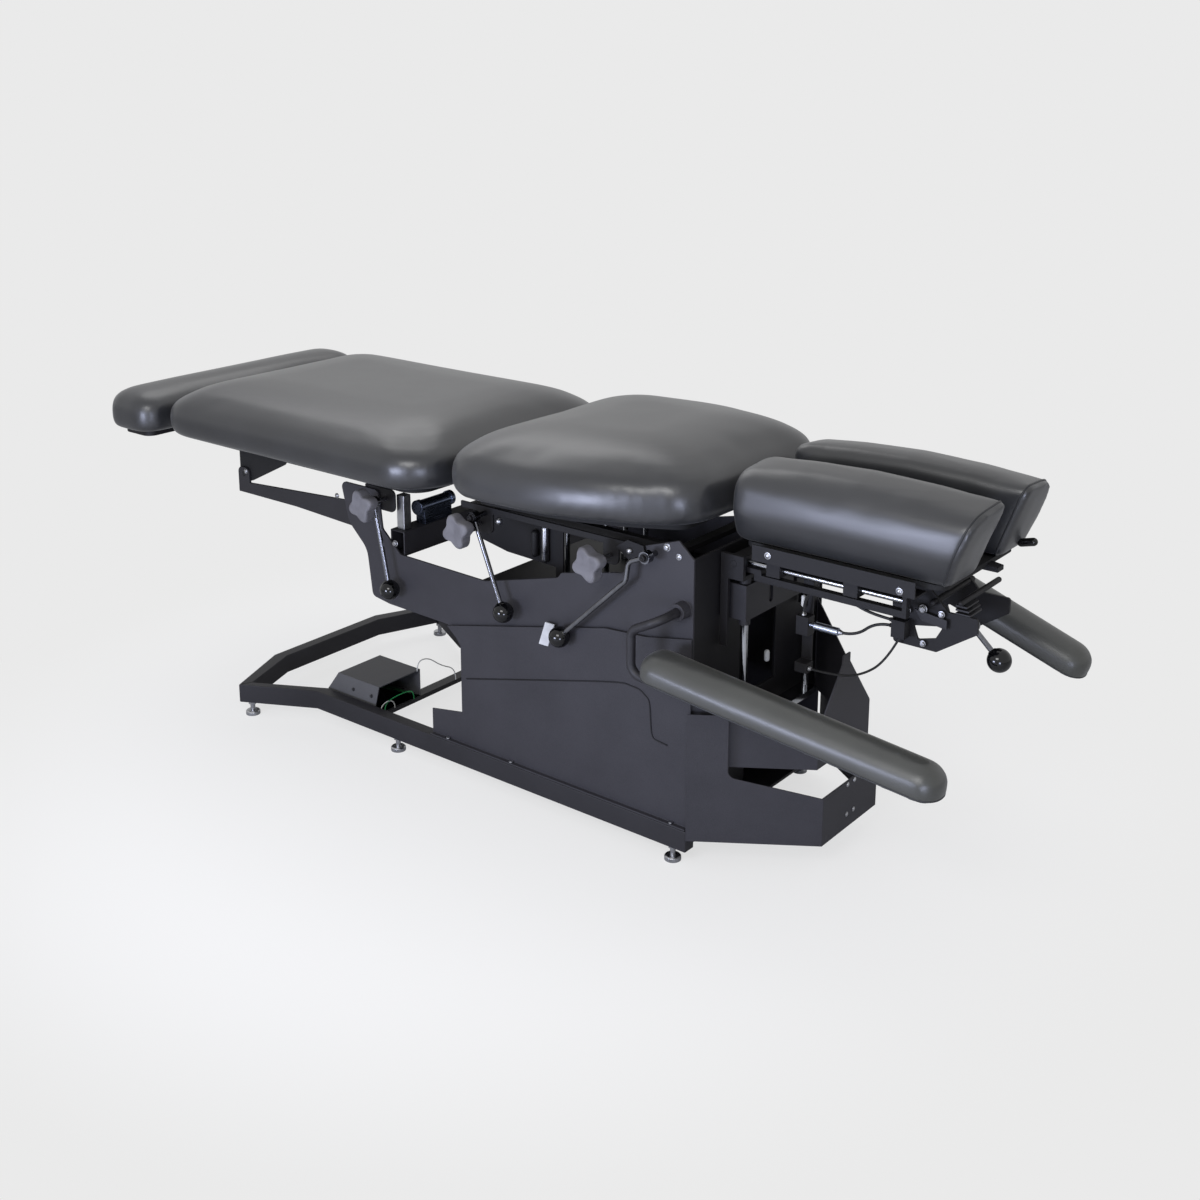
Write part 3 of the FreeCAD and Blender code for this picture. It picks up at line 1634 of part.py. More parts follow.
def head_yoke():
    base = block(yoke_foot_x, yoke_head_x, -ear_outer_y, ear_outer_y, yoke_bottom, yoke_bottom + yoke_thickness)
    ear = block(
        yoke_foot_x, yoke_head_x, -ear_outer_y, -ear_outer_y + ear_thickness, yoke_bottom, ear_top
    )
    strip = block(
        yoke_foot_x,
        yoke_foot_x + yoke_strip_width,
        -ear_outer_y,
        -ear_outer_y + ear_thickness,
        yoke_strip_bottom,
        yoke_bottom,
    )
    bore = pin_y(
        head_pivot_x,
        head_pivot_z,
        -ear_outer_y - cut_overrun,
        -ear_outer_y + ear_thickness + cut_overrun,
        head_pivot_pin_radius + running_gap,
    )
    half = [ear.cut(bore), strip]
    return fused(base, *(half + [far_copy(piece) for piece in half]))


parts["head_yoke"] = head_yoke()


# Tilting bar with two chrome slide rods
def tilt_bar():
    low = head_pivot_z - tilt_bar_height / 2
    bar = block(tilt_bar_foot_x, tilt_bar_head_x, -tilt_bar_half_width, tilt_bar_half_width, low, low + tilt_bar_height)
    trunnion = pin_y(head_pivot_x, head_pivot_z, -ear_outer_y, -tilt_bar_half_width, head_pivot_pin_radius)
    near_y = -head_rod_y - support_width / 2
    far_y = -head_rod_y + support_width / 2
    top = support_bottom + support_height
    support = block(support_foot_x, head_rod_head_x + support_end_length, near_y, far_y, support_bottom, top)
    hanger = block(
        tilt_bar_head_x, support_foot_x + support_width, near_y, far_y, top, support_hanger_top
    )
    end_block = block(head_rod_head_x, head_rod_head_x + support_end_length, near_y, far_y, top, low + tilt_bar_height)
    half = [trunnion, support, hanger, end_block]
    return fused(bar, *(half + [far_copy(piece) for piece in half]))


def slide_rod():
    return pin_x(-head_rod_y, head_pivot_z, tilt_bar_head_x, head_rod_head_x, head_rod_radius)


parts["head_tilt_bar"] = tilt_bar()
parts["head_slide_rods"] = Part.makeCompound([slide_rod(), far_copy(slide_rod())])


# Sliding head frame: blocks on the rods, angle bars, ties and two keel plates
angle_bar_low = angle_bar_top - angle_bar_height


def angle_bar_side():
    flange = block(
        angle_bar_foot_x,
        angle_bar_head_x,
        -angle_bar_outer_y,
        -angle_bar_outer_y + angle_bar_wall,
        angle_bar_low,
        angle_bar_top,
    )
    leg = block(
        angle_bar_foot_x,
        angle_bar_head_x,
        -angle_bar_outer_y,
        -angle_bar_outer_y + angle_bar_leg,
        angle_bar_low,
        angle_bar_low + angle_bar_wall,
    )
    pieces = [leg]
    for x in (slide_block_foot_x, slide_block_head_x):
        body = block(
            x,
            x + slide_block_length,
            -head_rod_y - slide_block_width / 2,
            -head_rod_y + slide_block_width / 2,
            head_pivot_z - tilt_bar_height / 2,
            angle_bar_low,
        )
        bore = pin_x(
            -head_rod_y, head_pivot_z, x - cut_overrun, x + slide_block_length + cut_overrun, head_rod_radius + running_gap
        )
        pieces.append(body.cut(bore))
    return fused(flange, *pieces)


def keel():
    top = angle_bar_low
    plate = upright_plate(
        [
            (head_tie_foot_x, top, 0),
            (head_tie_foot_x, top - keel_depth, 0),
            (keel_drop_x, top - keel_depth, keel_corner_radius),
            (keel_corner_x, keel_low_z, keel_corner_radius),
            (keel_nose_x, keel_low_z, keel_corner_radius),
            (keel_tip_x, keel_tip_low_z, keel_corner_radius),
            (keel_tip_x, keel_tip_high_z, keel_corner_radius),
            (keel_step_x, keel_tip_high_z, keel_corner_radius),
            (keel_shoulder_x, top, keel_corner_radius),
        ],
        -keel_y,
        -keel_y + keel_thickness,
    )
    window = upright_plate(
        [
            (
                keel_corner_x + (keel_nose_x - keel_corner_x) * along,
                keel_low_z + (keel_tip_high_z - keel_low_z) * up,
                keel_window_round,
            )
            for along, up in keel_window_shares
        ],
        -keel_y - cut_overrun,
        -keel_y + keel_thickness + cut_overrun,
    )
    return plate.cut(window)


def drop_lug():
    low = angle_bar_low
    lug = block(
        drop_pivot_x - drop_ear_half_length,
        head_tie_foot_x,
        -drop_ear_y - drop_ear_thickness - side_gap - drop_ear_thickness,
        -drop_ear_y - drop_ear_thickness - side_gap,
        low,
        drop_pivot_z + drop_ear_half_height - side_gap,
    )
    bore = pin_y(
        drop_pivot_x,
        drop_pivot_z,
        -drop_ear_y - 2 * drop_ear_thickness - side_gap - cut_overrun,
        -drop_ear_y,
        drop_pin_radius + running_gap,
    )
    return lug.cut(bore)


def head_slide_frame():
    side = angle_bar_side()
    reach = angle_bar_outer_y - angle_bar_leg
    ties = [
        block(x, x + head_tie_width, -reach, reach, angle_bar_low, angle_bar_low + head_tie_thickness)
        for x in (head_tie_foot_x, head_tie_head_x)
    ]
    pieces = ties + [keel(), far_copy(keel()), drop_lug(), far_copy(drop_lug()), far_copy(side)]
    return fused(side, *pieces)


keel_inner_y = keel_y - keel_thickness
valve_hanger = block(
    valve_hanger_x,
    valve_hanger_x + valve_hanger_width,
    -keel_inner_y,
    -keel_inner_y + valve_hanger_thickness,
    valve_hanger_bottom,
    angle_bar_low - side_gap,
)
valve_near_y = -keel_inner_y - valve_width
valve_body = block(
    valve_hanger_x,
    valve_hanger_x + valve_length,
    valve_near_y,
    -keel_inner_y,
    valve_z,
    valve_z + valve_height,
)
cable_stop = block(
    valve_hanger_x,
    valve_hanger_x + valve_length,
    valve_near_y,
    -keel_inner_y,
    valve_hanger_bottom,
    valve_hanger_bottom + cable_stop_height,
)
parts["head_air_valve"] = fused(valve_hanger, valve_body, cable_stop)
valve_middle_y = -keel_y - clamp_block_width / 2
nipple_start = valve_hanger_x + valve_length
barrel_start = nipple_start + barrel_nipple_length
parts["air_line_filter"] = fused(
    pin_x(valve_middle_y, barrel_z, nipple_start, barrel_start, barrel_nipple_radius),
    pin_x(valve_middle_y, barrel_z, barrel_start, barrel_start + barrel_length, barrel_radius),
)
clamp_block = block(
    clamp_block_foot_x,
    clamp_block_foot_x + clamp_block_length,
    -keel_y - clamp_block_width,
    -keel_y,
    clamp_block_z,
    clamp_block_z + clamp_block_height,
)
parts["head_slide_frame"] = fused(head_slide_frame(), clamp_block)


# Air hoses and control cable of the head section: shares of the way across and of the way up
hose_y = -keel_y - clamp_block_width / 2
upper_hose_shares = (
    (0.0, 0.0),
    (0.0, 0.75),
    (0.071, 1.4),
    (0.205, 1.656),
    (0.485, 1.45),
    (0.757, 1.0),
    (1.0, 1.0),
)
lower_hose_shares = ((0.0, 0.0), (0.307, 0.0), (0.693, 1.0), (1.0, 1.0))
cable_shares = ((0.0, 0.0), (0.284, 0.0), (0.586, 0.129), (0.858, 0.495), (1.0, 1.0))


def swept(shares, start_x, start_z, end_x, end_z):
    return [
        V(start_x + (end_x - start_x) * across, hose_y, start_z + (end_z - start_z) * up) for across, up in shares
    ]


upper_route = swept(
    upper_hose_shares,
    valve_hanger_x + valve_length / 2,
    valve_z + valve_height,
    clamp_block_foot_x,
    clamp_block_z + clamp_block_height - 2 * hose_radius,
)
lower_route = swept(
    lower_hose_shares,
    barrel_start + barrel_length,
    barrel_z,
    clamp_block_foot_x,
    clamp_block_z + clamp_block_height / 2,
)
cable_route = swept(
    cable_shares,
    nipple_start,
    valve_hanger_bottom + cable_stop_height / 2,
    clamp_block_foot_x + clamp_block_length / 2,
    clamp_block_z,
)
parts["head_air_hoses"] = Part.makeCompound(
    [hose("upper hose", upper_route, hose_radius), hose("lower hose", lower_route, hose_radius)]
)
parts["head_control_cable"] = hose("control cable", cable_route, cable_radius)


# Drop board with its face slot, hinged near the foot end of the pads
def head_drop_board():
    low = head_pad_bottom_z - head_board_thickness
    board = flat_plate(
        [
            (head_board_foot_x, -head_board_half_width, head_board_corner),
            (head_board_head_x, -head_board_half_width, head_board_corner),
            (head_board_head_x, head_board_half_width, head_board_corner),
            (head_board_foot_x, head_board_half_width, head_board_corner),
        ],
        low,
        head_pad_bottom_z,
    )
    slot = flat_plate(
        [
            (face_slot_foot_x, -face_slot_half_width, head_board_corner),
            (face_slot_head_x, -face_slot_half_width, head_board_corner),
            (face_slot_head_x, face_slot_half_width, head_board_corner),
            (face_slot_foot_x, face_slot_half_width, head_board_corner),
        ],
        low - cut_overrun,
        head_pad_bottom_z + cut_overrun,
    )
    ear = block(
        drop_pivot_x - drop_ear_half_length,
        drop_pivot_x + drop_ear_half_length,
        -drop_ear_y - drop_ear_thickness,
        -drop_ear_y,
        drop_pivot_z - drop_ear_half_height,
        low,
    )
    hinge_pin = pin_y(
        drop_pivot_x,
        drop_pivot_z,
        -drop_ear_y - 2 * drop_ear_thickness - side_gap,
        -drop_ear_y,
        drop_pin_radius,
    )
    half = [ear, hinge_pin]
    return fused(board.cut(slot), *(half + [far_copy(piece) for piece in half]))


parts["head_drop_board"] = head_drop_board()


# Head pad: one cross section carried from the foot end to the slanted head end, fuller in the middle
def head_pad():
    lean = (head_pad_high_head_x - head_pad_low_head_x) / (head_pad_outer_top - head_pad_bottom_z)
    depth = head_pad_inner_top - head_pad_bottom_z
    section = [
        (-head_pad_outer_low_y, head_pad_bottom_z, head_pad_low_round),
        (-head_pad_inner_low_y, head_pad_bottom_z, head_pad_low_round),
        (-head_pad_inner_y, head_pad_inner_top, head_pad_inner_round),
        (-head_pad_outer_top_y, head_pad_outer_top, head_pad_top_round),
        (-head_pad_outer_mid_y, head_pad_mid_z, head_pad_side_round),
    ]
    pad_length = head_pad_low_head_x - head_pad_foot_x
    end_share = head_pad_end_round / pad_length
    step_share = head_pad_end_step / pad_length
    stations = [
        (0.0, head_pad_foot_inset),
        (step_share, head_pad_foot_step_inset),
        (end_share, 0),
        (head_pad_first_share, 0),
        (head_pad_middle_share, 0),
        (head_pad_last_share, 0),
        (1.0 - step_share, 0),
        (1.0, head_pad_head_inset),
    ]
    wires = []
    for along, inset in stations:
        lift = head_pad_bulge * math.sin(math.pi * along)
        corners = []
        for y, z, radius in drawn_in(section, inset):
            rise = (z - head_pad_bottom_z) / depth
            head_x = head_pad_low_head_x + lean * (z - head_pad_bottom_z)
            x = head_pad_foot_x + (head_x - head_pad_foot_x) * along
            corners.append((V(x, y, z + lift * rise), radius))
        wires.append(rounded_wire(corners))
    return Part.makeLoft(wires, True, True)


parts["head_pads"] = Part.makeCompound([head_pad(), far_copy(head_pad())])

# Head lever
head_lever_start = V(head_lever_pivot_x, -head_lever_y, head_lever_pivot_z)
head_lever_end = V(head_ball_x, -head_lever_y, head_ball_z)
head_lever_hub = pin_y(
    head_lever_pivot_x,
    head_lever_pivot_z,
    -head_lever_y - hub_length / 2 + head_lever_hub_trim,
    -head_lever_y + hub_length / 2,
    hub_radius,
)
head_lever_stud = pin_y(head_lever_pivot_x, head_lever_pivot_z, -keel_inner_y, -head_lever_y, lever_stud_radius)
parts["head_lever"] = fused(
    bar_between(head_lever_start, head_lever_end, lever_rod_radius), head_lever_hub, head_lever_stud
)
parts["head_ball_knob"] = ball_knob(head_ball_x, -head_lever_y, head_ball_z, head_lever_start - head_lever_end)

parts_order = sorted(parts)
for node_name in parts_order:
    shape = parts[node_name]
    print(node_name, len(shape.Solids), shape.isValid(), round(shape.Volume / 1000))
os.makedirs("parts", exist_ok=True)
for node_name in parts_order:
    parts[node_name].exportStep("parts/" + node_name + ".step")
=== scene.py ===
import bpy
import bmesh
import json
import math
import numpy as np
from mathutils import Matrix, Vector

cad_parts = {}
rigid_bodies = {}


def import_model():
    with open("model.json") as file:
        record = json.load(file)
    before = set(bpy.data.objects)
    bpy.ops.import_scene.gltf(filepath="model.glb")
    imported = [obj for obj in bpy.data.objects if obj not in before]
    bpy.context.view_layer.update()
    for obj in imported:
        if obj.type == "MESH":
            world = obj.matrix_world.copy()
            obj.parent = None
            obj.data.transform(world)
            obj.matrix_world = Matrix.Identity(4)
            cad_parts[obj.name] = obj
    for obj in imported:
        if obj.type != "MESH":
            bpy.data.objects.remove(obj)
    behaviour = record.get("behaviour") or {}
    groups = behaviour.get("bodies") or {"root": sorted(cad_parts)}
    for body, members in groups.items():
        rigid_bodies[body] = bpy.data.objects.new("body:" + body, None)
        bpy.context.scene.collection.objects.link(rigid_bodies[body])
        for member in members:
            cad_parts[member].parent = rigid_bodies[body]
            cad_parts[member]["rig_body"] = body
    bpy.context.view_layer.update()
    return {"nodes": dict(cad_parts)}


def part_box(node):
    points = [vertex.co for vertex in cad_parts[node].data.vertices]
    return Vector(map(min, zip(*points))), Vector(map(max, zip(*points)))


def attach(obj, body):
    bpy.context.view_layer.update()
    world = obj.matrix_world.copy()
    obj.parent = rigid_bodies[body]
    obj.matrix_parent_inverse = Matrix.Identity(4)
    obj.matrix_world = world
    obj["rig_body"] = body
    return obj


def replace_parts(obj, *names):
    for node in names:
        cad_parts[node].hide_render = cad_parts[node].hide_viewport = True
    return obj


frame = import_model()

nodes = frame["nodes"]
bodyOf = {name: node["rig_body"] for name, node in nodes.items()}
print("frame loaded,", len(nodes), "nodes")


# Camera at the photo's viewing angle
cameraLook = {
    "place": (1.8874, -2.208, 1.4143), "heading": 2.2415, "pitch": 0.2473, "lens": 46.28, "shift": -0.15,
}


def makeCamera(look):
    data = bpy.data.cameras.new("camera")
    data.lens = look["lens"]
    data.sensor_width = 36.0
    data.shift_y = look["shift"]
    camera = bpy.data.objects.new("camera", data)
    camera.location = look["place"]
    camera.rotation_euler = (math.pi / 2 - look["pitch"], 0.0, look["heading"] - math.pi / 2)
    bpy.context.scene.collection.objects.link(camera)
    bpy.context.scene.camera = camera
    bpy.context.scene.view_settings.view_transform = "Standard"


makeCamera(cameraLook)


# Colour and shader helpers

# screen colour such as 3a3b3d to the linear values that a shader works in
def linearRgb(hexText):
    parts = [int(hexText[i:i + 2], 16) / 255 for i in (0, 2, 4)]
    return [p / 12.92 if p <= 0.04045 else ((p + 0.055) / 1.055) ** 2.4 for p in parts] + [1.0]


def addNode(tree, kind, inputs=None, **settings):
    node = tree.nodes.new(kind)
    for key, value in settings.items():
        setattr(node, key, value)
    for key, value in (inputs or {}).items():
        if isinstance(value, bpy.types.NodeSocket):
            tree.links.new(value, node.inputs[key])
        else:
            node.inputs[key].default_value = value
    return node


def newSurface(name):
    material = bpy.data.materials.new(name)
    material.use_nodes = True
    tree = material.node_tree
    shader = tree.nodes["Principled BSDF"]
    place = addNode(tree, "ShaderNodeTexCoord").outputs["Object"]
    return material, tree, shader, place


# two tones of one colour, mixed by a noise value between low and high
def toneBetween(tree, factor, darkHex, lightHex, low=0.35, high=0.65):
    ramp = addNode(tree, "ShaderNodeValToRGB", {"Fac": factor})
    ramp.color_ramp.elements[0].position = low
    ramp.color_ramp.elements[1].position = high
    ramp.color_ramp.elements[0].color = linearRgb(darkHex)
    ramp.color_ramp.elements[1].color = linearRgb(lightHex)
    return ramp.outputs["Color"]


def roughBetween(tree, factor, low, high):
    limits = {"Value": factor, "From Min": 0.3, "From Max": 0.7, "To Min": low, "To Max": high}
    return addNode(tree, "ShaderNodeMapRange", limits).outputs["Result"]


def noise(tree, place, scale, detail=3.0, roughness=0.5, distortion=0.0):
    inputs = {"Vector": place, "Scale": scale, "Detail": detail, "Roughness": roughness}
    inputs["Distortion"] = distortion
    return addNode(tree, "ShaderNodeTexNoise", inputs).outputs["Fac"]


def bumped(tree, height, strength, distance, normal=None):
    inputs = {"Height": height, "Strength": strength, "Distance": distance}
    if normal is not None:
        inputs["Normal"] = normal
    return addNode(tree, "ShaderNodeBump", inputs).outputs["Normal"]


def finishSurface(tree, shader, factor, look, normal, low=0.35, high=0.65):
    tone = toneBetween(tree, factor, look["dark"], look["light"], low, high)
    rough = roughBetween(tree, factor, look["roughLow"], look["roughHigh"])
    tree.links.new(tone, shader.inputs["Base Color"])
    tree.links.new(rough, shader.inputs["Roughness"])
    tree.links.new(normal, shader.inputs["Normal"])


# vinyl: height = cell distance at the grain size + finer pores, over slow creases
# tone and roughness follow soft clouds about 200 mm across, and the creases lie about 36 mm apart
def upholsteryVinyl(name, look):
    material, tree, shader, place = newSurface(name)
    mottle = noise(tree, place, 5.0, 4.0, 0.55)
    cellInputs = {"Vector": place, "Scale": 1.0 / look["grain"], "Smoothness": 0.6}
    cells = addNode(tree, "ShaderNodeTexVoronoi", cellInputs, feature="SMOOTH_F1").outputs["Distance"]
    pores = noise(tree, place, 2.6 / look["grain"])
    grain = addNode(tree, "ShaderNodeMath", {0: cells, 1: pores}, operation="ADD").outputs[0]
    fine = bumped(tree, grain, look["grainDepth"], 0.0004)
    creases = noise(tree, place, 28.0, 5.0, 0.6, 0.6)
    finishSurface(tree, shader, mottle, look, bumped(tree, creases, 0.05, 0.002, fine))
    shader.inputs["Specular IOR Level"].default_value = look["shine"]
    shader.inputs["Sheen Weight"].default_value = look["sheen"]
    shader.inputs["Sheen Roughness"].default_value = 0.45
    return material


# powder paint: tone = clouds mixed with speck noise; height = orange peel a little coarser than the specks
# the clouds are about 140 mm across, as powder settles
def powderCoat(name, look):
    material, tree, shader, place = newSurface(name)
    clouds = noise(tree, place, 7.0, 5.0, 0.6)
    specks = noise(tree, place, 1.0 / look["speck"], 2.0, 0.7)
    mixed = addNode(tree, "ShaderNodeMix", {"Factor": 0.62, "A": clouds, "B": specks}, data_type="FLOAT")
    peel = noise(tree, place, 0.6 / look["speck"])
    normal = bumped(tree, peel, look["peel"], 0.0005)
    finishSurface(tree, shader, mixed.outputs["Result"], look, normal, 0.38, 0.62)
    shader.inputs["Specular IOR Level"].default_value = look["shine"]
    return material


# metal: tone and height = noise stretched along the bar, mixed half and half with faint smudges
# the streaks are about 17 mm wide before they are stretched, the smudges about 45 mm across
def bareMetal(name, look):
    material, tree, shader, place = newSurface(name)
    stretched = addNode(tree, "ShaderNodeMapping", {"Vector": place, "Scale": look["streak"]})
    streaks = noise(tree, stretched.outputs["Vector"], 60.0, 4.0, 0.65)
    smudge = noise(tree, place, 22.0)
    mixed = addNode(tree, "ShaderNodeMix", {"Factor": 0.5, "A": streaks, "B": smudge}, data_type="FLOAT")
    finishSurface(tree, shader, mixed.outputs["Result"], look, bumped(tree, streaks, look["depth"], 0.0002))
    shader.inputs["Metallic"].default_value = 1.0
    return material


# plastic: tone = drawn-out flow marks about 25 mm across; height = fine spark-eroded grain
def mouldedPlastic(name, look):
    material, tree, shader, place = newSurface(name)
    flow = noise(tree, place, 40.0, 3.0, 0.5, 0.8)
    erosion = noise(tree, place, 1.0 / look["grain"], 2.0)
    finishSurface(tree, shader, flow, look, bumped(tree, erosion, look["depth"], 0.0002))
    return material


# circuit board: tone = a brick grid of tracks; height = fine waves of glass weave
def circuitLaminate(name, look):
    material, tree, shader, place = newSurface(name)
    inputs = {"Vector": place, "Scale": 90.0, "Mortar Size": 0.06}
    inputs["Color1"] = linearRgb(look["lacquer"])
    inputs["Color2"] = linearRgb(look["lacquerLight"])
    inputs["Mortar"] = linearRgb(look["track"])
    tracks = addNode(tree, "ShaderNodeTexBrick", inputs)
    waveInputs = {"Vector": place, "Scale": 400.0, "Distortion": 1.0}
    weave = addNode(tree, "ShaderNodeTexWave", waveInputs).outputs["Fac"]
    tree.links.new(tracks.outputs["Color"], shader.inputs["Base Color"])
    tree.links.new(roughBetween(tree, weave, 0.3, 0.42), shader.inputs["Roughness"])
    tree.links.new(bumped(tree, weave, 0.1, 0.0001), shader.inputs["Normal"])
    return material


# grain and speck are sizes in metres, drawn coarser than the real 0.1 to 0.5 mm so that they show
# streak tells how far the noise is squeezed along x, y and z

# calendered, embossed upholstery vinyl: charcoal with wide soft highlights
vinylLook = {
    "dark": "1f2023", "light": "27282b", "grain": 0.0014, "grainDepth": 0.13,
    "roughLow": 0.31, "roughHigh": 0.38, "shine": 0.95, "sheen": 0.1,
}
# the armrests' vinyl: a lighter, faintly olive grey, duller from hands
armVinylLook = {
    "dark": "343532", "light": "3e3f3b", "grain": 0.0012, "grainDepth": 0.16,
    "roughLow": 0.34, "roughHigh": 0.42, "shine": 0.9, "sheen": 0.12,
}
# piping of the same vinyl, stretched over a cord and so duller
weltLook = {
    "dark": "1f2023", "light": "27282b", "grain": 0.0011, "grainDepth": 0.15,
    "roughLow": 0.42, "roughHigh": 0.5, "shine": 0.5, "sheen": 0.1,
}
# textured powder coat on steel tube: near black with a dull speckled sheen
framePaint = {
    "dark": "1d1c20", "light": "28272b", "speck": 0.0009, "peel": 0.22,
    "roughLow": 0.46, "roughHigh": 0.56, "shine": 0.45,
}
# the frame coat with painted shade: darker for parts deep inside, where shade falls, and flatter
shadedInnerPaint = {
    "dark": "131214", "light": "1b1a1d", "speck": 0.0009, "peel": 0.2,
    "roughLow": 0.5, "roughHigh": 0.6, "shine": 0.35,
}
# powder coat on folded sheet: cool dark grey that takes a wide soft light
coverPaint = {
    "dark": "28272c", "light": "36353a", "speck": 0.0011, "peel": 0.26,
    "roughLow": 0.5, "roughHigh": 0.62, "shine": 0.45,
}
# the control box's coat: mid grey and nearly smooth
boxPaint = {
    "dark": "4b4b4d", "light": "59595b", "speck": 0.0012, "peel": 0.15,
    "roughLow": 0.5, "roughHigh": 0.6, "shine": 0.45,
}
# paint on the drawn lift columns, a little shinier than the covers
columnPaint = {
    "dark": "2a2a2d", "light": "343438", "speck": 0.0012, "peel": 0.14,
    "roughLow": 0.42, "roughHigh": 0.5, "shine": 0.5,
}
# black stained plywood: dull, with open pores
boardStain = {
    "dark": "161617", "light": "222223", "speck": 0.003, "peel": 0.3,
    "roughLow": 0.6, "roughHigh": 0.72, "shine": 0.3,
}
# hard chrome on turned rod: bright, with faint marks along the bar
chromeLook = {
    "dark": "a2a4a9", "light": "c4c6cb", "streak": (0.2, 6.0, 6.0), "depth": 0.03,
    "roughLow": 0.1, "roughHigh": 0.18,
}
# dark chromed levers: smoky reflections
leverLook = {
    "dark": "6d6e73", "light": "86878c", "streak": (2.0, 2.0, 0.4), "depth": 0.03,
    "roughLow": 0.14, "roughHigh": 0.24,
}
# zinc plated bolts and feet: pale and slightly cloudy
zincLook = {
    "dark": "9a9b9f", "light": "c6c7ca", "streak": (1.0, 1.0, 1.0), "depth": 0.12,
    "roughLow": 0.26, "roughHigh": 0.38,
}
# brushed aluminium: cool and bright, marks along its length
alloyLook = {
    "dark": "a3abbc", "light": "c3cad8", "streak": (0.3, 6.0, 6.0), "depth": 0.06,
    "roughLow": 0.24, "roughHigh": 0.34,
}
# anodised cylinder: blue grey metal, marks across the table
blueAlloyLook = {
    "dark": "566076", "light": "838ca2", "streak": (6.0, 0.3, 6.0), "depth": 0.05,
    "roughLow": 0.22, "roughHigh": 0.32,
}
# moulded nylon: mid grey with a spark-eroded matt
knobLook = {
    "dark": "646368", "light": "737277", "grain": 0.0008, "depth": 0.22,
    "roughLow": 0.5, "roughHigh": 0.6,
}
# polished phenolic: black with a sharp highlight
ballLook = {
    "dark": "070708", "light": "0d0d0f", "grain": 0.004, "depth": 0.02,
    "roughLow": 0.05, "roughHigh": 0.09,
}
# moulded tab: pale grey satin
tabLook = {
    "dark": "b9babd", "light": "cfd0d2", "grain": 0.001, "depth": 0.15,
    "roughLow": 0.45, "roughHigh": 0.55,
}
# moulded caps: white satin
capLook = {
    "dark": "d6d6d3", "light": "e9e9e6", "grain": 0.001, "depth": 0.08,
    "roughLow": 0.35, "roughHigh": 0.45,
}
# extruded hose rubber: black with a soft sheen
rubberLook = {
    "dark": "141415", "light": "1e1e20", "grain": 0.0012, "depth": 0.2,
    "roughLow": 0.42, "roughHigh": 0.55,
}
# extruded wire insulation: smooth, slightly glossy
greenLook = {
    "dark": "1c6f3a", "light": "2f9b58", "grain": 0.002, "depth": 0.05,
    "roughLow": 0.35, "roughHigh": 0.45,
}
# the same insulation in white
whiteLook = {
    "dark": "c6c6c2", "light": "dededa", "grain": 0.002, "depth": 0.05,
    "roughLow": 0.35, "roughHigh": 0.45,
}
# green lacquer over the circuit board, its tracks showing paler
boardLook = {"lacquer": "1d5b3a", "lacquerLight": "22693f", "track": "4f8f5a"}

surfaces = {
    "vinyl": upholsteryVinyl("cushion vinyl", vinylLook),
    "armVinyl": upholsteryVinyl("armrest vinyl", armVinylLook),
    "welt": upholsteryVinyl("welt vinyl", weltLook),
    "frame": powderCoat("frame powder coat", framePaint),
    # the inner coat's darkness is painted shade
    "inner": powderCoat("inner paint with painted shade", shadedInnerPaint),
    "cover": powderCoat("cover powder coat", coverPaint),
    "column": powderCoat("column paint", columnPaint),
    "box": powderCoat("control box paint", boxPaint),
    "ply": powderCoat("stained plywood", boardStain),
    "chrome": bareMetal("chromed rod", chromeLook),
    "lever": bareMetal("dark chromed lever", leverLook),
    "zinc": bareMetal("zinc plate", zincLook),
    "alloy": bareMetal("cylinder alloy", alloyLook),
    "blueAlloy": bareMetal("blued cylinder", blueAlloyLook),
    "knob": mouldedPlastic("grey knob plastic", knobLook),
    "ball": mouldedPlastic("black ball plastic", ballLook),
    "tab": mouldedPlastic("pale tab plastic", tabLook),
    "cap": mouldedPlastic("white cap plastic", capLook),
    "rubber": mouldedPlastic("hose rubber", rubberLook),
    "greenWire": mouldedPlastic("green wire", greenLook),
    "whiteWire": mouldedPlastic("white wire", whiteLook),
    "circuit": circuitLaminate("circuit lacquer", boardLook),
}
print("materials ready,", len(surfaces))


# Mesh helpers

def placePiece(name, mesh, surface, body, bevel=0.0):
    mesh.polygons.foreach_set("use_smooth", [True] * len(mesh.polygons))
    mesh.materials.clear()
    mesh.materials.append(surfaces[surface])
    piece = bpy.data.objects.new(name, mesh)
    bpy.context.scene.collection.objects.link(piece)
    if bevel > 0:
        softenEdges(piece, bevel)
    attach(piece, body)
    return piece


def makePiece(name, points, faces, surface, body, bevel=0.0):
    mesh = bpy.data.meshes.new(name)
    mesh.from_pydata(np.asarray(points).tolist(), [], [list(map(int, face)) for face in faces])
    return placePiece(name, mesh, surface, body, bevel)


def softenEdges(piece, width, segments=2):
    rounding = piece.modifiers.new("edges", "BEVEL")
    rounding.width = width
    rounding.segments = segments
    rounding.limit_method = "ANGLE"
    rounding.angle_limit = math.radians(38)
    weights = piece.modifiers.new("normals", "WEIGHTED_NORMAL")
    weights.keep_sharp = True


# quads of a rows by columns grid, each ring joined to itself
def gridFaces(rows, columns):
    rr, cc = np.meshgrid(np.arange(rows - 1), np.arange(columns), indexing="ij")
    nr, nc = rr + 1, (cc + 1) % columns
    corners = [rr * columns + cc, rr * columns + nc, nr * columns + nc, nr * columns + cc]
    return np.stack(corners, -1).reshape(-1, 4)


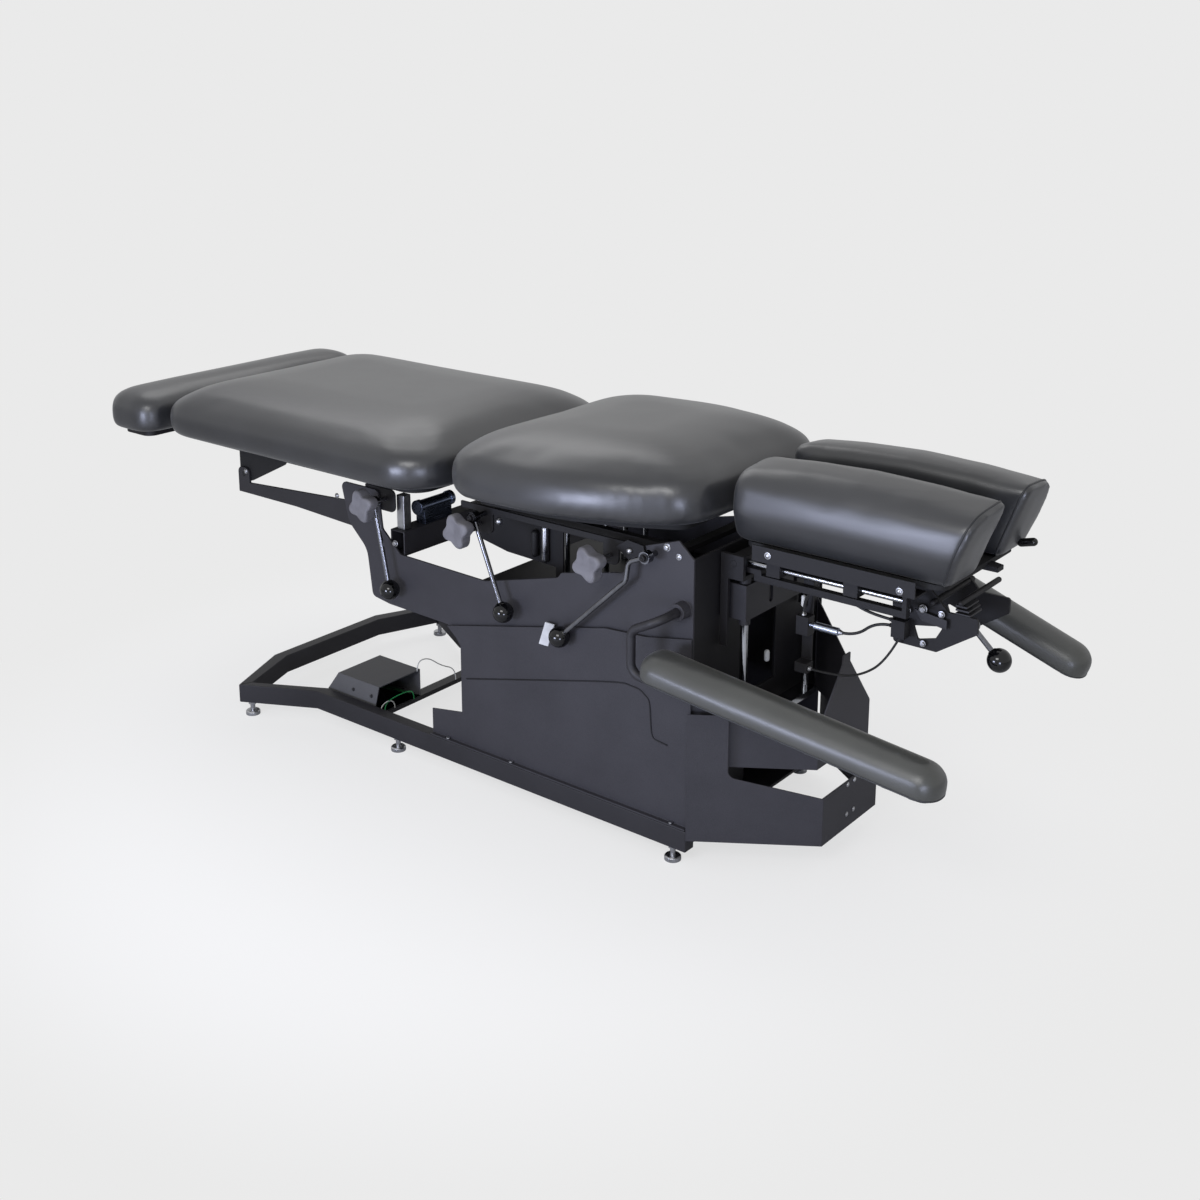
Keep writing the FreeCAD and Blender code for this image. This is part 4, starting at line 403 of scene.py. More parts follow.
# a grid of rings with a fan to the middle of each end ring
def closedTube(grid):
    rows, columns = grid.shape[:2]
    points = np.concatenate([grid.reshape(-1, 3), grid[0].mean(0)[None], grid[-1].mean(0)[None]])
    faces = gridFaces(rows, columns).tolist()
    first, last = rows * columns, rows * columns + 1
    c = np.arange(columns)
    faces += np.stack([(c + 1) % columns, c, np.full(columns, first)], -1).tolist()
    top = (rows - 1) * columns
    faces += np.stack([top + c, top + (c + 1) % columns, np.full(columns, last)], -1).tolist()
    return points, faces


# rings of radius r times the outline at distance d along the direction, from (d, r) pairs
def lathe(base, direction, profile, sides=40, outline=None):
    axis = np.array(Vector(direction).normalized())
    side = np.array(Vector(direction).orthogonal().normalized())
    other = np.cross(axis, side)
    turn = np.linspace(0, 2 * math.pi, sides, endpoint=False)
    reach = np.ones(sides) if outline is None else outline(turn)
    ring = (np.cos(turn) * reach)[:, None] * side + (np.sin(turn) * reach)[:, None] * other
    prof = np.array(profile, float)
    return np.array(base) + prof[:, 0][:, None, None] * axis + prof[:, 1][:, None, None] * ring[None]


def lathePiece(name, base, direction, profile, surface, body, sides=40):
    points, faces = closedTube(lathe(base, direction, profile, sides))
    return makePiece(name, points, faces, surface, body)


# several closed tubes as one mesh
def joinedTubes(grids):
    points, faces, offset = [], [], 0
    for grid in grids:
        p, f = closedTube(grid)
        points.append(p)
        faces += [[int(i) + offset for i in face] for face in f]
        offset += len(p)
    return np.concatenate(points), faces


# circles square to the path, carried along it with no twist
def sweptRings(path, radii, sides=20):
    path = np.asarray(path, float)
    tangent = np.gradient(path, axis=0)
    tangent /= np.linalg.norm(tangent, axis=1)[:, None]
    side = np.array(Vector(tangent[0]).orthogonal().normalized())
    carried = []
    for t in tangent:
        side = side - t * np.dot(side, t)
        side = side / np.linalg.norm(side)
        carried.append(side.copy())
    first = np.array(carried)
    second = np.cross(tangent, first)
    turn = np.linspace(0, 2 * math.pi, sides, endpoint=False)
    radii = np.broadcast_to(np.asarray(radii, float), (len(path),))
    ring = np.cos(turn)[None, :, None] * first[:, None] + np.sin(turn)[None, :, None] * second[:, None]
    return path[:, None] + radii[:, None, None] * ring


# a closed loop of circles, its last ring joined to its first
def loopPiece(name, path, radius, surface, body, sides=10):
    path = np.asarray(path, float)
    around = np.concatenate([path[-2:], path, path[:2]])
    grid = sweptRings(around, radius, sides)[2:-2]
    rows = len(grid)
    faces = gridFaces(rows, sides).tolist()
    c = np.arange(sides)
    last = (rows - 1) * sides
    shift = int(np.argmin(np.linalg.norm(grid[0] - grid[-1][0], axis=1)))
    nearest = (c + shift) % sides
    faces += np.stack([last + c, last + (c + 1) % sides, (nearest + 1) % sides, nearest], -1).tolist()
    return makePiece(name, grid.reshape(-1, 3), faces, surface, body)


def camelName(nodeName):
    first, *rest = nodeName.split("_")
    return first + "".join(word.capitalize() for word in rest)


# a welded copy of a CAD node with its flat faces joined up
def mergedCopy(nodeName):
    work = bmesh.new()
    work.from_mesh(nodes[nodeName].data)
    bmesh.ops.remove_doubles(work, verts=work.verts, dist=0.00002)
    bmesh.ops.dissolve_limit(work, angle_limit=math.radians(0.6), verts=work.verts, edges=work.edges)
    mesh = bpy.data.meshes.new(nodeName + " dressed")
    work.to_mesh(mesh)
    work.free()
    return mesh


# stands for a CAD node with the same shape, small rounds on its edges and its own paint
def dressNode(nodeName, surface, bevel):
    piece = placePiece(camelName(nodeName), mergedCopy(nodeName), surface, bodyOf[nodeName], bevel)
    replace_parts(piece, nodeName)
    return piece


# Cords: each route repeats the CAD route as shares of the way across and up, on a smooth open spline

def spanned(shares, start, end):
    (startX, startZ), (endX, endZ) = start, end
    return [(startX + (endX - startX) * across, startZ + (endZ - startZ) * up) for across, up in shares]


def makeCord(name, points, look, body):
    line = bpy.data.curves.new(name, "CURVE")
    line.dimensions = "3D"
    spline = line.splines.new("NURBS")
    spline.points.add(len(points) - 1)
    for point, place in zip(spline.points, points):
        point.co = (*place, 1.0)
    spline.order_u = 3
    spline.use_endpoint_u = True
    spline.resolution_u = 24
    line.bevel_depth = look["diameter"] / 2
    line.bevel_resolution = 6
    line.use_fill_caps = True
    line.materials.append(surfaces[look["surface"]])
    cord = bpy.data.objects.new(name, line)
    bpy.context.scene.collection.objects.link(cord)
    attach(cord, body)
    return cord


hoseY = -0.073
upperHose = {"diameter": 0.005, "length": 0.2084, "surface": "rubber", "stiffness": "medium"}
upperHose["shares"] = ((0, 0), (0, 0.75), (0.071, 1.4), (0.205, 1.656), (0.485, 1.45), (0.757, 1), (1, 1))
upperHose["ends"] = ((0.634, 0.454), (0.803, 0.487))
lowerHose = {"diameter": 0.005, "length": 0.1125, "surface": "rubber", "stiffness": "medium"}
lowerHose["shares"] = ((0, 0), (0.307, 0), (0.693, 1), (1, 1))
lowerHose["ends"] = ((0.702, 0.441), (0.803, 0.477))
controlCable = {"diameter": 0.004, "length": 0.2142, "surface": "rubber", "stiffness": "medium"}
controlCable["shares"] = ((0, 0), (0.284, 0), (0.586, 0.129), (0.858, 0.495), (1, 1))
controlCable["ends"] = ((0.646, 0.361), (0.815, 0.462))
for cordName, look, nodeName in (
    ("upperAirHose", upperHose, "head_air_hoses"),
    ("lowerAirHose", lowerHose, "head_air_hoses"),
    ("headControlCable", controlCable, "head_control_cable"),
):
    route = [(x, hoseY, z) for x, z in spanned(look["shares"], *look["ends"])]
    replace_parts(makeCord(cordName, route, look, bodyOf[nodeName]), nodeName)

wireX = -0.3008
greenWire = {"diameter": 0.0024, "length": 0.1165, "surface": "greenWire", "stiffness": "limp"}
greenWire["shares"] = ((0, 0), (0, 0.75), (0.3, 1), (0.75, 1), (1, 0.75), (1, 0))
greenWire["ends"] = ((-0.168, 0.042), (-0.084, 0.066))
shortWire = {"diameter": 0.0024, "length": 0.0690, "surface": "whiteWire", "stiffness": "limp"}
shortWire["shares"] = ((0, 0), (0, 0.6), (0.5, 0.95), (1, 0.6), (1, 0))
shortWire["ends"] = ((-0.181, 0.042), (-0.140, 0.066))
thinWire = {"diameter": 0.0024, "length": 0.1712, "surface": "whiteWire", "stiffness": "limp"}
thinWire["shares"] = ((0, 0), (0, -0.35), (0.28, -0.35), (0.62, 0.2), (1, 0.55), (1, 1))
thinWire["ends"] = ((-0.072, 0.1008), (0.044, 0.042))
for wireName, look in (("greenWire", greenWire), ("shortWire", shortWire), ("thinWire", thinWire)):
    route = [(wireX, y, z) for y, z in spanned(look["shares"], *look["ends"])]
    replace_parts(makeCord(wireName, route, look, bodyOf["control_wires"]), "control_wires")
print("cords laid")


# Frame, covers and brackets keep their CAD shapes
# pieces on the inner coat are painted darker as shade, for parts set deep inside
dressed = {
    "side_rails": ("frame", 0.0016), "foot_crossbar": ("frame", 0.0016), "base_pan": ("frame", 0.0008),
    "lower_covers": ("cover", 0.0008), "head_end_skirt": ("cover", 0.0008),
    "head_shroud": ("cover", 0.0008), "foot_end_wall": ("cover", 0.0008),
    "side_plates": ("cover", 0.0012), "control_box_housing": ("box", 0.0008),
    "lift_columns_outer": ("column", 0.002), "lift_columns_inner": ("column", 0.0015),
    "lift_actuator": ("column", 0.002), "cross_beam": ("frame", 0.0015), "lift_deck": ("inner", 0.001),
    "tower_end_plate": ("inner", 0.001), "leg_support_arms": ("frame", 0.0012),
    "pelvic_latch_posts": ("zinc", 0.0015), "control_plates": ("inner", 0.001),
    "leg_board": ("ply", 0.001), "chest_board": ("ply", 0.001), "footrest_carrier": ("inner", 0.001),
    "lumbar_frame": ("inner", 0.0012), "drop_guide_rods": ("chrome", 0.0008),
    "near_armrest_bracket": ("frame", 0.0006), "far_armrest_bracket": ("frame", 0.0006),
    "sleeve_bracket": ("frame", 0.001), "head_posts": ("chrome", 0.001), "head_yoke": ("inner", 0.001),
    "head_tilt_bar": ("inner", 0.001), "head_slide_rods": ("chrome", 0.0006),
    "head_slide_frame": ("inner", 0.0008), "head_air_valve": ("inner", 0.001),
    "air_line_filter": ("alloy", 0.0008), "head_drop_board": ("ply", 0.001),
    "cover_pull_tab": ("tab", 0.001), "control_circuit_board": ("circuit", 0.0005),
    "pelvic_air_cylinder": ("blueAlloy", 0.0008), "cover_flange_bolts": ("zinc", 0.0006),
    "levelling_feet": ("zinc", 0.0008), "pelvic_lever": ("lever", 0.0006),
    "lumbar_lever": ("lever", 0.0006), "thoracic_lever": ("lever", 0.0006),
    "head_lever": ("lever", 0.0006),
}
for nodeName, (surface, width) in dressed.items():
    dressNode(nodeName, surface, width)
print("cad nodes dressed,", len(dressed))


# Knobs

# ball: r = radius sin(a) at d = -radius cos(a), with a short collar where the lever goes in
def ballKnob(nodeName, centre, direction, look):
    a = np.linspace(0.02, math.pi - 0.42, 26)
    profile = [(-look["radius"] * math.cos(t), look["radius"] * math.sin(t)) for t in a]
    d, r = profile[-1]
    profile += [(d + 0.0006, r - 0.0004), (d + 0.0008, look["neck"]), (look["radius"], look["neck"])]
    piece = lathePiece(camelName(nodeName), centre, direction, profile, "ball", bodyOf[nodeName], 48)
    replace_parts(piece, nodeName)
    return piece


ballSize = {"radius": 0.0195, "neck": 0.0066}
ballPlaces = {
    "pelvic_ball_knob": ((-0.202, -0.236, 0.354), (-0.036, 0, 0.172)),
    "lumbar_ball_knob": ((0.096, -0.236, 0.379), (-0.069, 0, 0.170)),
    "thoracic_ball_knob": ((0.230, -0.236, 0.365), (0.149, 0, 0.140)),
    "head_ball_knob": ((0.975, -0.048, 0.454), (-0.049, 0, 0.046)),
}
for nodeName, (centre, direction) in ballPlaces.items():
    ballKnob(nodeName, centre, direction, ballSize)


# star knob: r = mean + wave cos 4(turn - tip), swept over a profile with rounded rims and a dished face
# dish and rim hold depths and shares of the radius, hub holds depths and radii behind the knob
def starKnob(nodeName, x, z, look):
    outer = look["outerY"]
    depth = look["thickness"]
    rim = look["rim"]
    bend = np.linspace(0, math.pi / 2, 7)
    start = look["rimShare"]
    rounded = [(rim * (1 - math.cos(t)), start + (1 - start) * math.sin(t)) for t in bend]
    steps = [*look["dish"], *rounded]
    steps += [(depth - d, share) for d, share in rounded[::-1]]
    turn = np.linspace(0, 2 * math.pi, look["sides"], endpoint=False)
    radius = look["mean"] + look["wave"] * np.cos(4 * (turn - look["tip"]))
    rings = []
    for d, share in steps:
        wave = look["mean"] * share + (radius - look["mean"]) * max(0.0, (share - 0.5) * 2)
        level = np.full(len(turn), outer + d)
        rings.append(np.stack([x + wave * np.cos(turn), level, z + wave * np.sin(turn)], -1))
    back = outer + depth
    for d, r in (*look["hub"], (look["studEnd"] - back, look["studRadius"])):
        level = np.full(len(turn), back + d)
        rings.append(np.stack([x + r * np.cos(turn), level, z + r * np.sin(turn)], -1))
    points, faces = closedTube(np.array(rings)[:, ::-1])
    piece = makePiece(camelName(nodeName), points, faces, "knob", bodyOf[nodeName])
    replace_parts(piece, nodeName)
    return piece


starLook = {
    "outerY": -0.276, "thickness": 0.026, "rim": 0.006, "mean": 0.0275, "wave": 0.0053,
    "tip": math.pi / 8, "studEnd": -0.205, "studRadius": 0.0042, "sides": 96,
    "dish": ((0.0016, 0.2), (0.0010, 0.55)), "rimShare": 0.8,
    "hub": ((0.0, 0.0125), (0.0065, 0.0115), (0.0066, 0.0042)),
}
starPlaces = {
    "pelvic_star_knob": (-0.238, 0.526),
    "lumbar_star_knob": (0.013, 0.526),
    "thoracic_star_knob": (0.321, 0.530),
}
for nodeName, (x, z) in starPlaces.items():
    starKnob(nodeName, x, z, starLook)
print("knobs made")


# Fasteners

def hexOutline(turn):
    return math.cos(math.pi / 6) / np.cos((turn + math.pi / 6) % (math.pi / 3) - math.pi / 6)


# washer with a hexagon head, a round socket cap or a domed pan head, standing on a face
# all heights and radii are shares of the fastener's size
boltSides = 24
washerShares = ((0, 1.25), (0.22, 1.25), (0.24, 1.15))
headShares = {
    "hex": ((0.2, 0.98), (0.95, 1.0), (1.06, 0.9), (1.08, 0.6)),
    "socket": ((0.2, 0.86), (1.0, 0.86), (1.1, 0.78), (1.1, 0.45), (0.6, 0.42)),
    "pan": [(0.2 + 0.5 * math.sin(t), 0.95 * math.cos(t)) for t in np.linspace(0, math.pi / 2 - 0.08, 7)],
}


def fastener(place, direction, size, kind):
    outline = hexOutline if kind == "hex" else None
    washer = lathe(place, direction, [(size * d, size * r) for d, r in washerShares], boltSides)
    head = lathe(place, direction, [(size * d, size * r) for d, r in headShares[kind]], boltSides, outline)
    return [washer, head]


def fastenerSet(name, body, surface, items):
    grids = []
    for place, direction, size, kind in items:
        grids += fastener(place, direction, size, kind)
    points, faces = joinedTubes(grids)
    return makePiece(name, points, faces, surface, body)


nearFace, farFace, headFace = (0, -1, 0), (0, 1, 0), (1, 0, 0)
plateY = -0.209
plateBolts = [((x, plateY, z), nearFace, size, kind) for x, z, size, kind in (
    (0.446, 0.572, 0.0055, "hex"), (0.470, 0.560, 0.0045, "pan"), (-0.209, 0.441, 0.0050, "hex"),
)]
plateBolts += [((x, -y, z), farFace, size, kind) for (x, y, z), _, size, kind in plateBolts]
fastenerSet("sidePlateBolts", "lift_carriage", "zinc", plateBolts)
angleBolts = [
    ((x, side * 0.153, z), (0, side, 0), 0.0050, "pan")
    for side in (-1, 1) for x, z in ((0.609, 0.577), (0.850, 0.571))
]
fastenerSet("angleBarBolts", "head_extension", "zinc", angleBolts)
skirtBolts = [((0.698, y, z), headFace, 0.0035, "pan") for y in (-0.012, 0.012) for z in (0.079, 0.136)]
fastenerSet("skirtBolts", "base", "zinc", skirtBolts)
armBolts = [
    ((x, side * 0.204, 0.505), (0, side, 0), 0.0045, "pan") for side in (-1, 1) for x in (-0.664, -0.379)
]
fastenerSet("supportArmBolts", "lift_carriage", "zinc", armBolts)
boxLean = math.atan2(0.018, 0.060)
boxFace = (0, -math.cos(boxLean), math.sin(boxLean))
boxScrews = [((x, -0.188, 0.080), boxFace, 0.0032, "socket") for x in (-0.372, -0.318)]
fastenerSet("boxScrews", "base", "rubber", boxScrews)
keelBolts = [((x, side * 0.067, z), (0, side, 0), size, "hex") for side in (-1, 1) for x, z, size in (
    (0.822, 0.508, 0.0052), (0.850, 0.516, 0.0060), (0.882, 0.514, 0.0048), (0.852, 0.457, 0.0042),
)]
fastenerSet("keelBolts", "head_extension", "zinc", keelBolts)
hubPlaces = {
    "pelvic": (-0.238, -0.243, 0.526), "lumbar": (0.027, -0.243, 0.549), "thoracic": (0.422, -0.243, 0.557),
}
for hubName, place in hubPlaces.items():
    hubScrew = [(place, nearFace, 0.0062, "socket")]
    fastenerSet(hubName + "HubScrew", bodyOf[hubName + "_lever"], "inner", hubScrew)
print("fasteners set")


# Small fittings of the head lift and head section

# round-ended bar between two points
def capsulePiece(name, start, end, radius, surface, body):
    run = np.array(end, float) - np.array(start, float)
    length = float(np.linalg.norm(run))
    a = np.linspace(0.05, math.pi / 2, 7)
    profile = [(radius * (1 - math.cos(t)), radius * math.sin(t)) for t in a]
    profile += [(length - d, r) for d, r in profile[::-1]]
    return lathePiece(name, start, run, profile, surface, body, 28)


# ferrule: a collar with a narrower lip, where a hose or cable ends, in shares of the hose's radius
ferruleShares = ((0, 1.9), (1.4, 1.9), (1.6, 1.5), (3.0, 1.4), (3.1, 1.02))
ferruleSpots = (
    ("hoseStartFerrule", (0.634, hoseY, 0.454), (0, 0, 1), 0.0025),
    ("hoseEndFerrule", (0.803, hoseY, 0.487), (-1, 0, 0), 0.0025),
    ("filterFerrule", (0.702, hoseY, 0.441), (1, 0, 0), 0.0025),
    ("lowerEndFerrule", (0.803, hoseY, 0.477), (-1, 0, 0), 0.0025),
    ("cableStartFerrule", (0.646, hoseY, 0.361), (1, 0, 0), 0.0020),
)
for ferruleName, place, direction, radius in ferruleSpots:
    profile = [(radius * d, radius * r) for d, r in ferruleShares]
    lathePiece(ferruleName, place, direction, profile, "zinc", "head_extension", boltSides)


# a flat plate: its outline in x and z, clockwise seen from the near side, between two y values
def slabPiece(name, outline, lowY, highY, surface, body):
    grid = np.array([[(x, y, z) for x, z in outline] for y in (lowY, highY)])
    points, faces = closedTube(grid)
    return makePiece(name, points, faces, surface, body, 0.0007)


# plates, knuckles and shafts on the inner coat carry its painted shade
slabs = (
    ("lumbarLatchPlate", -0.104, -0.100, "inner", "lift_carriage",
        ((-0.085, 0.520), (0.130, 0.520), (0.130, 0.433), (-0.010, 0.438), (-0.085, 0.452))),
    ("lumbarLatchLeg", -0.1045, -0.0995, "inner", "lift_carriage",
        ((0.112, 0.440), (0.130, 0.440), (0.130, 0.402), (0.112, 0.402))),
    ("thoracicKnuckle", -0.2150, -0.2088, "inner", "lift_carriage",
        ((0.340, 0.553), (0.366, 0.570), (0.400, 0.566), (0.404, 0.543), (0.372, 0.532))),
    ("keelTrim", -0.0702, -0.0668, "frame", "head_extension",
        ((0.836, 0.514), (0.893, 0.507), (0.893, 0.491), (0.848, 0.497))),
    ("catchPlate1", -0.061, -0.018, "frame", "head_extension",
        ((0.902, 0.5205), (0.928, 0.5205), (0.928, 0.5175), (0.902, 0.5175))),
    ("catchPlate2", -0.061, -0.018, "frame", "head_extension",
        ((0.902, 0.5270), (0.925, 0.5270), (0.925, 0.5240), (0.902, 0.5240))),
    ("catchPlate3", -0.061, -0.018, "frame", "head_extension",
        ((0.902, 0.5335), (0.922, 0.5335), (0.922, 0.5305), (0.902, 0.5305))),
    ("boardCatch", 0.020, 0.042, "inner", "head_drop",
        ((0.905, 0.583), (0.934, 0.579), (0.934, 0.571), (0.905, 0.571))),
)
for slabName, lowY, highY, surface, body, outline in slabs:
    slabPiece(slabName, outline, lowY, highY, surface, body)
capsules = (
    ("valveRoller", (0.6262, -0.0615, 0.464), (0.6262, -0.0615, 0.486), 0.0042, "cap", "head_extension"),
    ("towerBumper", (0.5035, 0.023, 0.304), (0.5035, 0.023, 0.327), 0.0050, "cap", "lift_carriage"),
    ("lumbarLatchCylinder", (0.092, -0.111, 0.440), (0.092, -0.111, 0.514), 0.0065, "zinc", "lift_carriage"),
    ("lumbarLatchPiston", (0.066, -0.111, 0.446), (0.066, -0.111, 0.500), 0.0075, "inner", "lift_carriage"),
    ("lumbarLatchPin", (-0.030, -0.112, 0.496), (-0.030, -0.096, 0.496), 0.0080, "zinc", "lift_carriage"),
    ("thoracicKnucklePin", (0.372, -0.222, 0.552), (0.372, -0.208, 0.552), 0.0060, "zinc", "lift_carriage"),
    ("catchShaft", (0.915, -0.0745, 0.5415), (0.915, 0.0745, 0.5415), 0.0048, "inner", "head_extension"),
    ("rollerShaft", (0.868, -0.0760, 0.5320), (0.868, 0.0760, 0.5320), 0.0055, "inner", "head_extension"),
    ("farPadCatch", (0.930, 0.100, 0.600), (0.964, 0.100, 0.609), 0.0070, "ball", "head_drop"),
)
for capsuleName, start, end, radius, surface, body in capsules:
    capsulePiece(capsuleName, start, end, radius, surface, body)
print("fittings made")


# Cover fold: a thin raised line on each lower cover, drawn in the inner coat, so its darkness is painted
# shade along the fold
coverFold = {"y": 0.2165, "radius": 0.0013}
coverFold["line"] = (
    (-0.019, 0.210), (0.354, 0.306), (0.396, 0.303), (0.417, 0.288), (0.422, 0.219), (0.456, 0.215),
)


def foldPiece(name, side, look):
    corners = [np.array((x, side * look["y"], z)) for x, z in look["line"]]
    path = [corners[0]]
    for before, corner, after in zip(corners, corners[1:], corners[2:]):
        t = np.linspace(0, 1, 7)[:, None]
        a, b = corner + 0.25 * (before - corner), corner + 0.25 * (after - corner)
        path += list((1 - t) ** 2 * a + 2 * t * (1 - t) * corner + t ** 2 * b)
    path.append(corners[-1])
    points, faces = closedTube(sweptRings(path, look["radius"], 10))
    return makePiece(name, points, faces, "inner", "base")


foldPiece("nearCoverFold", -1, coverFold)
foldPiece("farCoverFold", 1, coverFold)


# Upholstery

# the pad's CAD solid remeshed evenly, relaxed, then stretched back to the solid's own box
def padShell(nodeName, look):
    work = bmesh.new()
    work.from_mesh(nodes[nodeName].data)
    bmesh.ops.remove_doubles(work, verts=work.verts, dist=0.00005)
    mesh = bpy.data.meshes.new(nodeName + " pad")
    work.to_mesh(mesh)
    work.free()
    piece = bpy.data.objects.new(camelName(nodeName) + "Skin", mesh)
    bpy.context.scene.collection.objects.link(piece)
    even = piece.modifiers.new("even", "REMESH")
    even.mode = "VOXEL"
    even.voxel_size = look["voxel"]
    even.use_smooth_shade = True
    ease = piece.modifiers.new("ease", "SMOOTH")
    ease.factor = 0.5
    ease.iterations = look["relax"]
    bakeShape(piece)
    low, high = (np.array(corner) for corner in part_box(nodeName))
    points = vertexRows(piece.data)
    parts = [slice(None)] if look["pieces"] == 1 else [points[:, 1] < 0, points[:, 1] >= 0]
    for part in parts:
        a, b = points[part].min(0), points[part].max(0)
        goalLow, goalHigh = low + look["shrink"], high - look["shrink"]
        if look["pieces"] == 2:
            inner = look["innerY"]
            goalLow, goalHigh = goalLow.copy(), goalHigh.copy()
            if points[part][:, 1].mean() < 0:
                goalHigh[1] = -inner - look["shrink"]
            else:
                goalLow[1] = inner + look["shrink"]
        points[part] = goalLow + (points[part] - a) / (b - a) * (goalHigh - goalLow)
    piece.data.vertices.foreach_set("co", points.ravel())
    piece.data.update()
    return piece


# turns what the modifiers make into the piece's own mesh
def bakeShape(piece):
    graph = bpy.context.evaluated_depsgraph_get()
    result = bpy.data.meshes.new_from_object(piece.evaluated_get(graph))
    old = piece.data
    piece.modifiers.clear()
    piece.data = result
    bpy.data.meshes.remove(old)


# one row per vertex, of its place or another attribute
def vertexRows(mesh, attribute="co"):
    flat = np.empty(len(mesh.vertices) * 3)
    mesh.vertices.foreach_get(attribute, flat)
    return flat.reshape(-1, 3)


# each move takes on half of its neighbours' mean, so that broad swells stay and fine wrinkles go
def calmed(mesh, shift, rounds):
    flat = np.empty(len(mesh.edges) * 2, dtype=np.int64)
    mesh.edges.foreach_get("vertices", flat)
    first, second = flat.reshape(-1, 2).T
    neighbours = np.bincount(flat, minlength=len(shift))[:, None]
    for _ in range(rounds):
        total = np.zeros_like(shift)
        np.add.at(total, first, shift[second])
        np.add.at(total, second, shift[first])
        shift = 0.5 * shift + 0.5 * total / neighbours
    return shift


clothSettings = {
    "quality": 4, "mass": 0.3, "tension_stiffness": 25, "compression_stiffness": 25, "shear_stiffness": 12,
}


# cloth blown up by its filling, held at the base, with each point's move capped and calmed
def swell(piece, look):
    before = vertexRows(piece.data)
    held = piece.vertex_groups.new(name="base")
    underside = np.nonzero(vertexRows(piece.data, "normal")[:, 2] < -0.85)[0]
    held.add(underside.tolist(), 1.0, "REPLACE")
    skin = piece.modifiers.new("skin", "CLOTH")
    cloth = skin.settings
    for settingName, value in clothSettings.items():
        setattr(cloth, settingName, value)
    cloth.use_pressure = True
    cloth.uniform_pressure_force = look["pressure"]
    cloth.bending_stiffness = look["bending"]
    cloth.effector_weights.gravity = 0.0
    cloth.vertex_group_mass = "base"
    skin.point_cache.frame_start = 1
    skin.point_cache.frame_end = look["frames"]
    for step in range(1, look["frames"] + 1):
        bpy.context.scene.frame_set(step)
    graph = bpy.context.evaluated_depsgraph_get()
    moved = vertexRows(piece.evaluated_get(graph).data).copy()
    piece.modifiers.clear()
    bpy.context.scene.frame_set(1)
    shift = moved - before
    length = np.linalg.norm(shift, axis=1)
    shift *= np.minimum(1.0, look["cap"] / np.maximum(length, 1e-9))[:, None]
    shift = calmed(piece.data, shift, look["calm"])
    piece.data.vertices.foreach_set("co", (before + shift).ravel())
    piece.data.update()
    piece.vertex_groups.clear()
    print("   ", piece.name, "swelled, largest move", round(float(length.max()) * 1000, 1), "mm")


def upholster(nodeName, body, surface, look):
    piece = padShell(nodeName, look)
    swell(piece, look)
    finer = piece.modifiers.new("finer", "SUBSURF")
    finer.levels = finer.render_levels = 1
    bakeShape(piece)
    piece.data.polygons.foreach_set("use_smooth", [True] * len(piece.data.polygons))
    piece.data.materials.clear()
    piece.data.materials.append(surfaces[surface])
    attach(piece, body)
    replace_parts(piece, nodeName)
    return piece


couchLook = {
    "voxel": 0.008, "relax": 26, "shrink": 0.001, "pressure": 3.0, "bending": 0.8, "frames": 16,
    "calm": 12, "cap": 0.004, "fill": 0.85, "pieces": 1,
}
narrowLook = {**couchLook, "voxel": 0.007, "relax": 18, "cap": 0.003}
headLook = {
    "voxel": 0.0045, "relax": 8, "shrink": 0.001, "pressure": 2.5, "bending": 1.2, "frames": 14,
    "calm": 24, "cap": 0.003, "fill": 0.9, "pieces": 2, "innerY": 0.0385,
}
armLook = {
    "voxel": 0.0045, "relax": 6, "shrink": 0.001, "pressure": 2.5, "bending": 1.0, "frames": 14,
    "calm": 12, "cap": 0.002, "fill": 0.8, "pieces": 1,
}
pads = {}
for nodeName, surface, look in (
    ("leg_cushion", "vinyl", couchLook),
    ("chest_cushion", "vinyl", couchLook),
    ("footrest_cushion", "vinyl", narrowLook),
    ("head_pads", "vinyl", headLook),
    ("near_armrest_pad", "armVinyl", armLook),
    ("far_armrest_pad", "armVinyl", armLook),
):
    pads[nodeName] = upholster(nodeName, bodyOf[nodeName], surface, look)
print("pads upholstered,", len(pads))


# Welts: a slice through a finished pad gives the line that the piping follows

def sliceLoop(piece, point, normal, side, count):
    work = bmesh.new()
    work.from_mesh(piece.data)
    whole = work.verts[:] + work.edges[:] + work.faces[:]
    cut = bmesh.ops.bisect_plane(work, geom=whole, plane_co=point, plane_no=normal)
    cutPoints = np.array([v.co[:] for v in cut["geom_cut"] if isinstance(v, bmesh.types.BMVert)])
    work.free()
    if side:
        cutPoints = cutPoints[cutPoints[:, 1] * side > 0]
    centre = (cutPoints.min(0) + cutPoints.max(0)) / 2
    across = np.array(Vector(normal).orthogonal().normalized())
    upward = np.cross(np.array(Vector(normal).normalized()), across)
    turn = np.arctan2((cutPoints - centre) @ upward, (cutPoints - centre) @ across)
    ring = cutPoints[np.argsort(turn)]
    ring = np.concatenate([ring, ring[:1]])
    run = np.concatenate([[0.0], np.cumsum(np.linalg.norm(np.diff(ring, axis=0), axis=1))])
    spots = np.linspace(0, run[-1], count, endpoint=False)
    loop = np.stack([np.interp(spots, run, ring[:, i]) for i in range(3)], -1)
    for _ in range(3):
        loop = 0.5 * loop + 0.25 * (np.roll(loop, 1, 0) + np.roll(loop, -1, 0))
    return loop


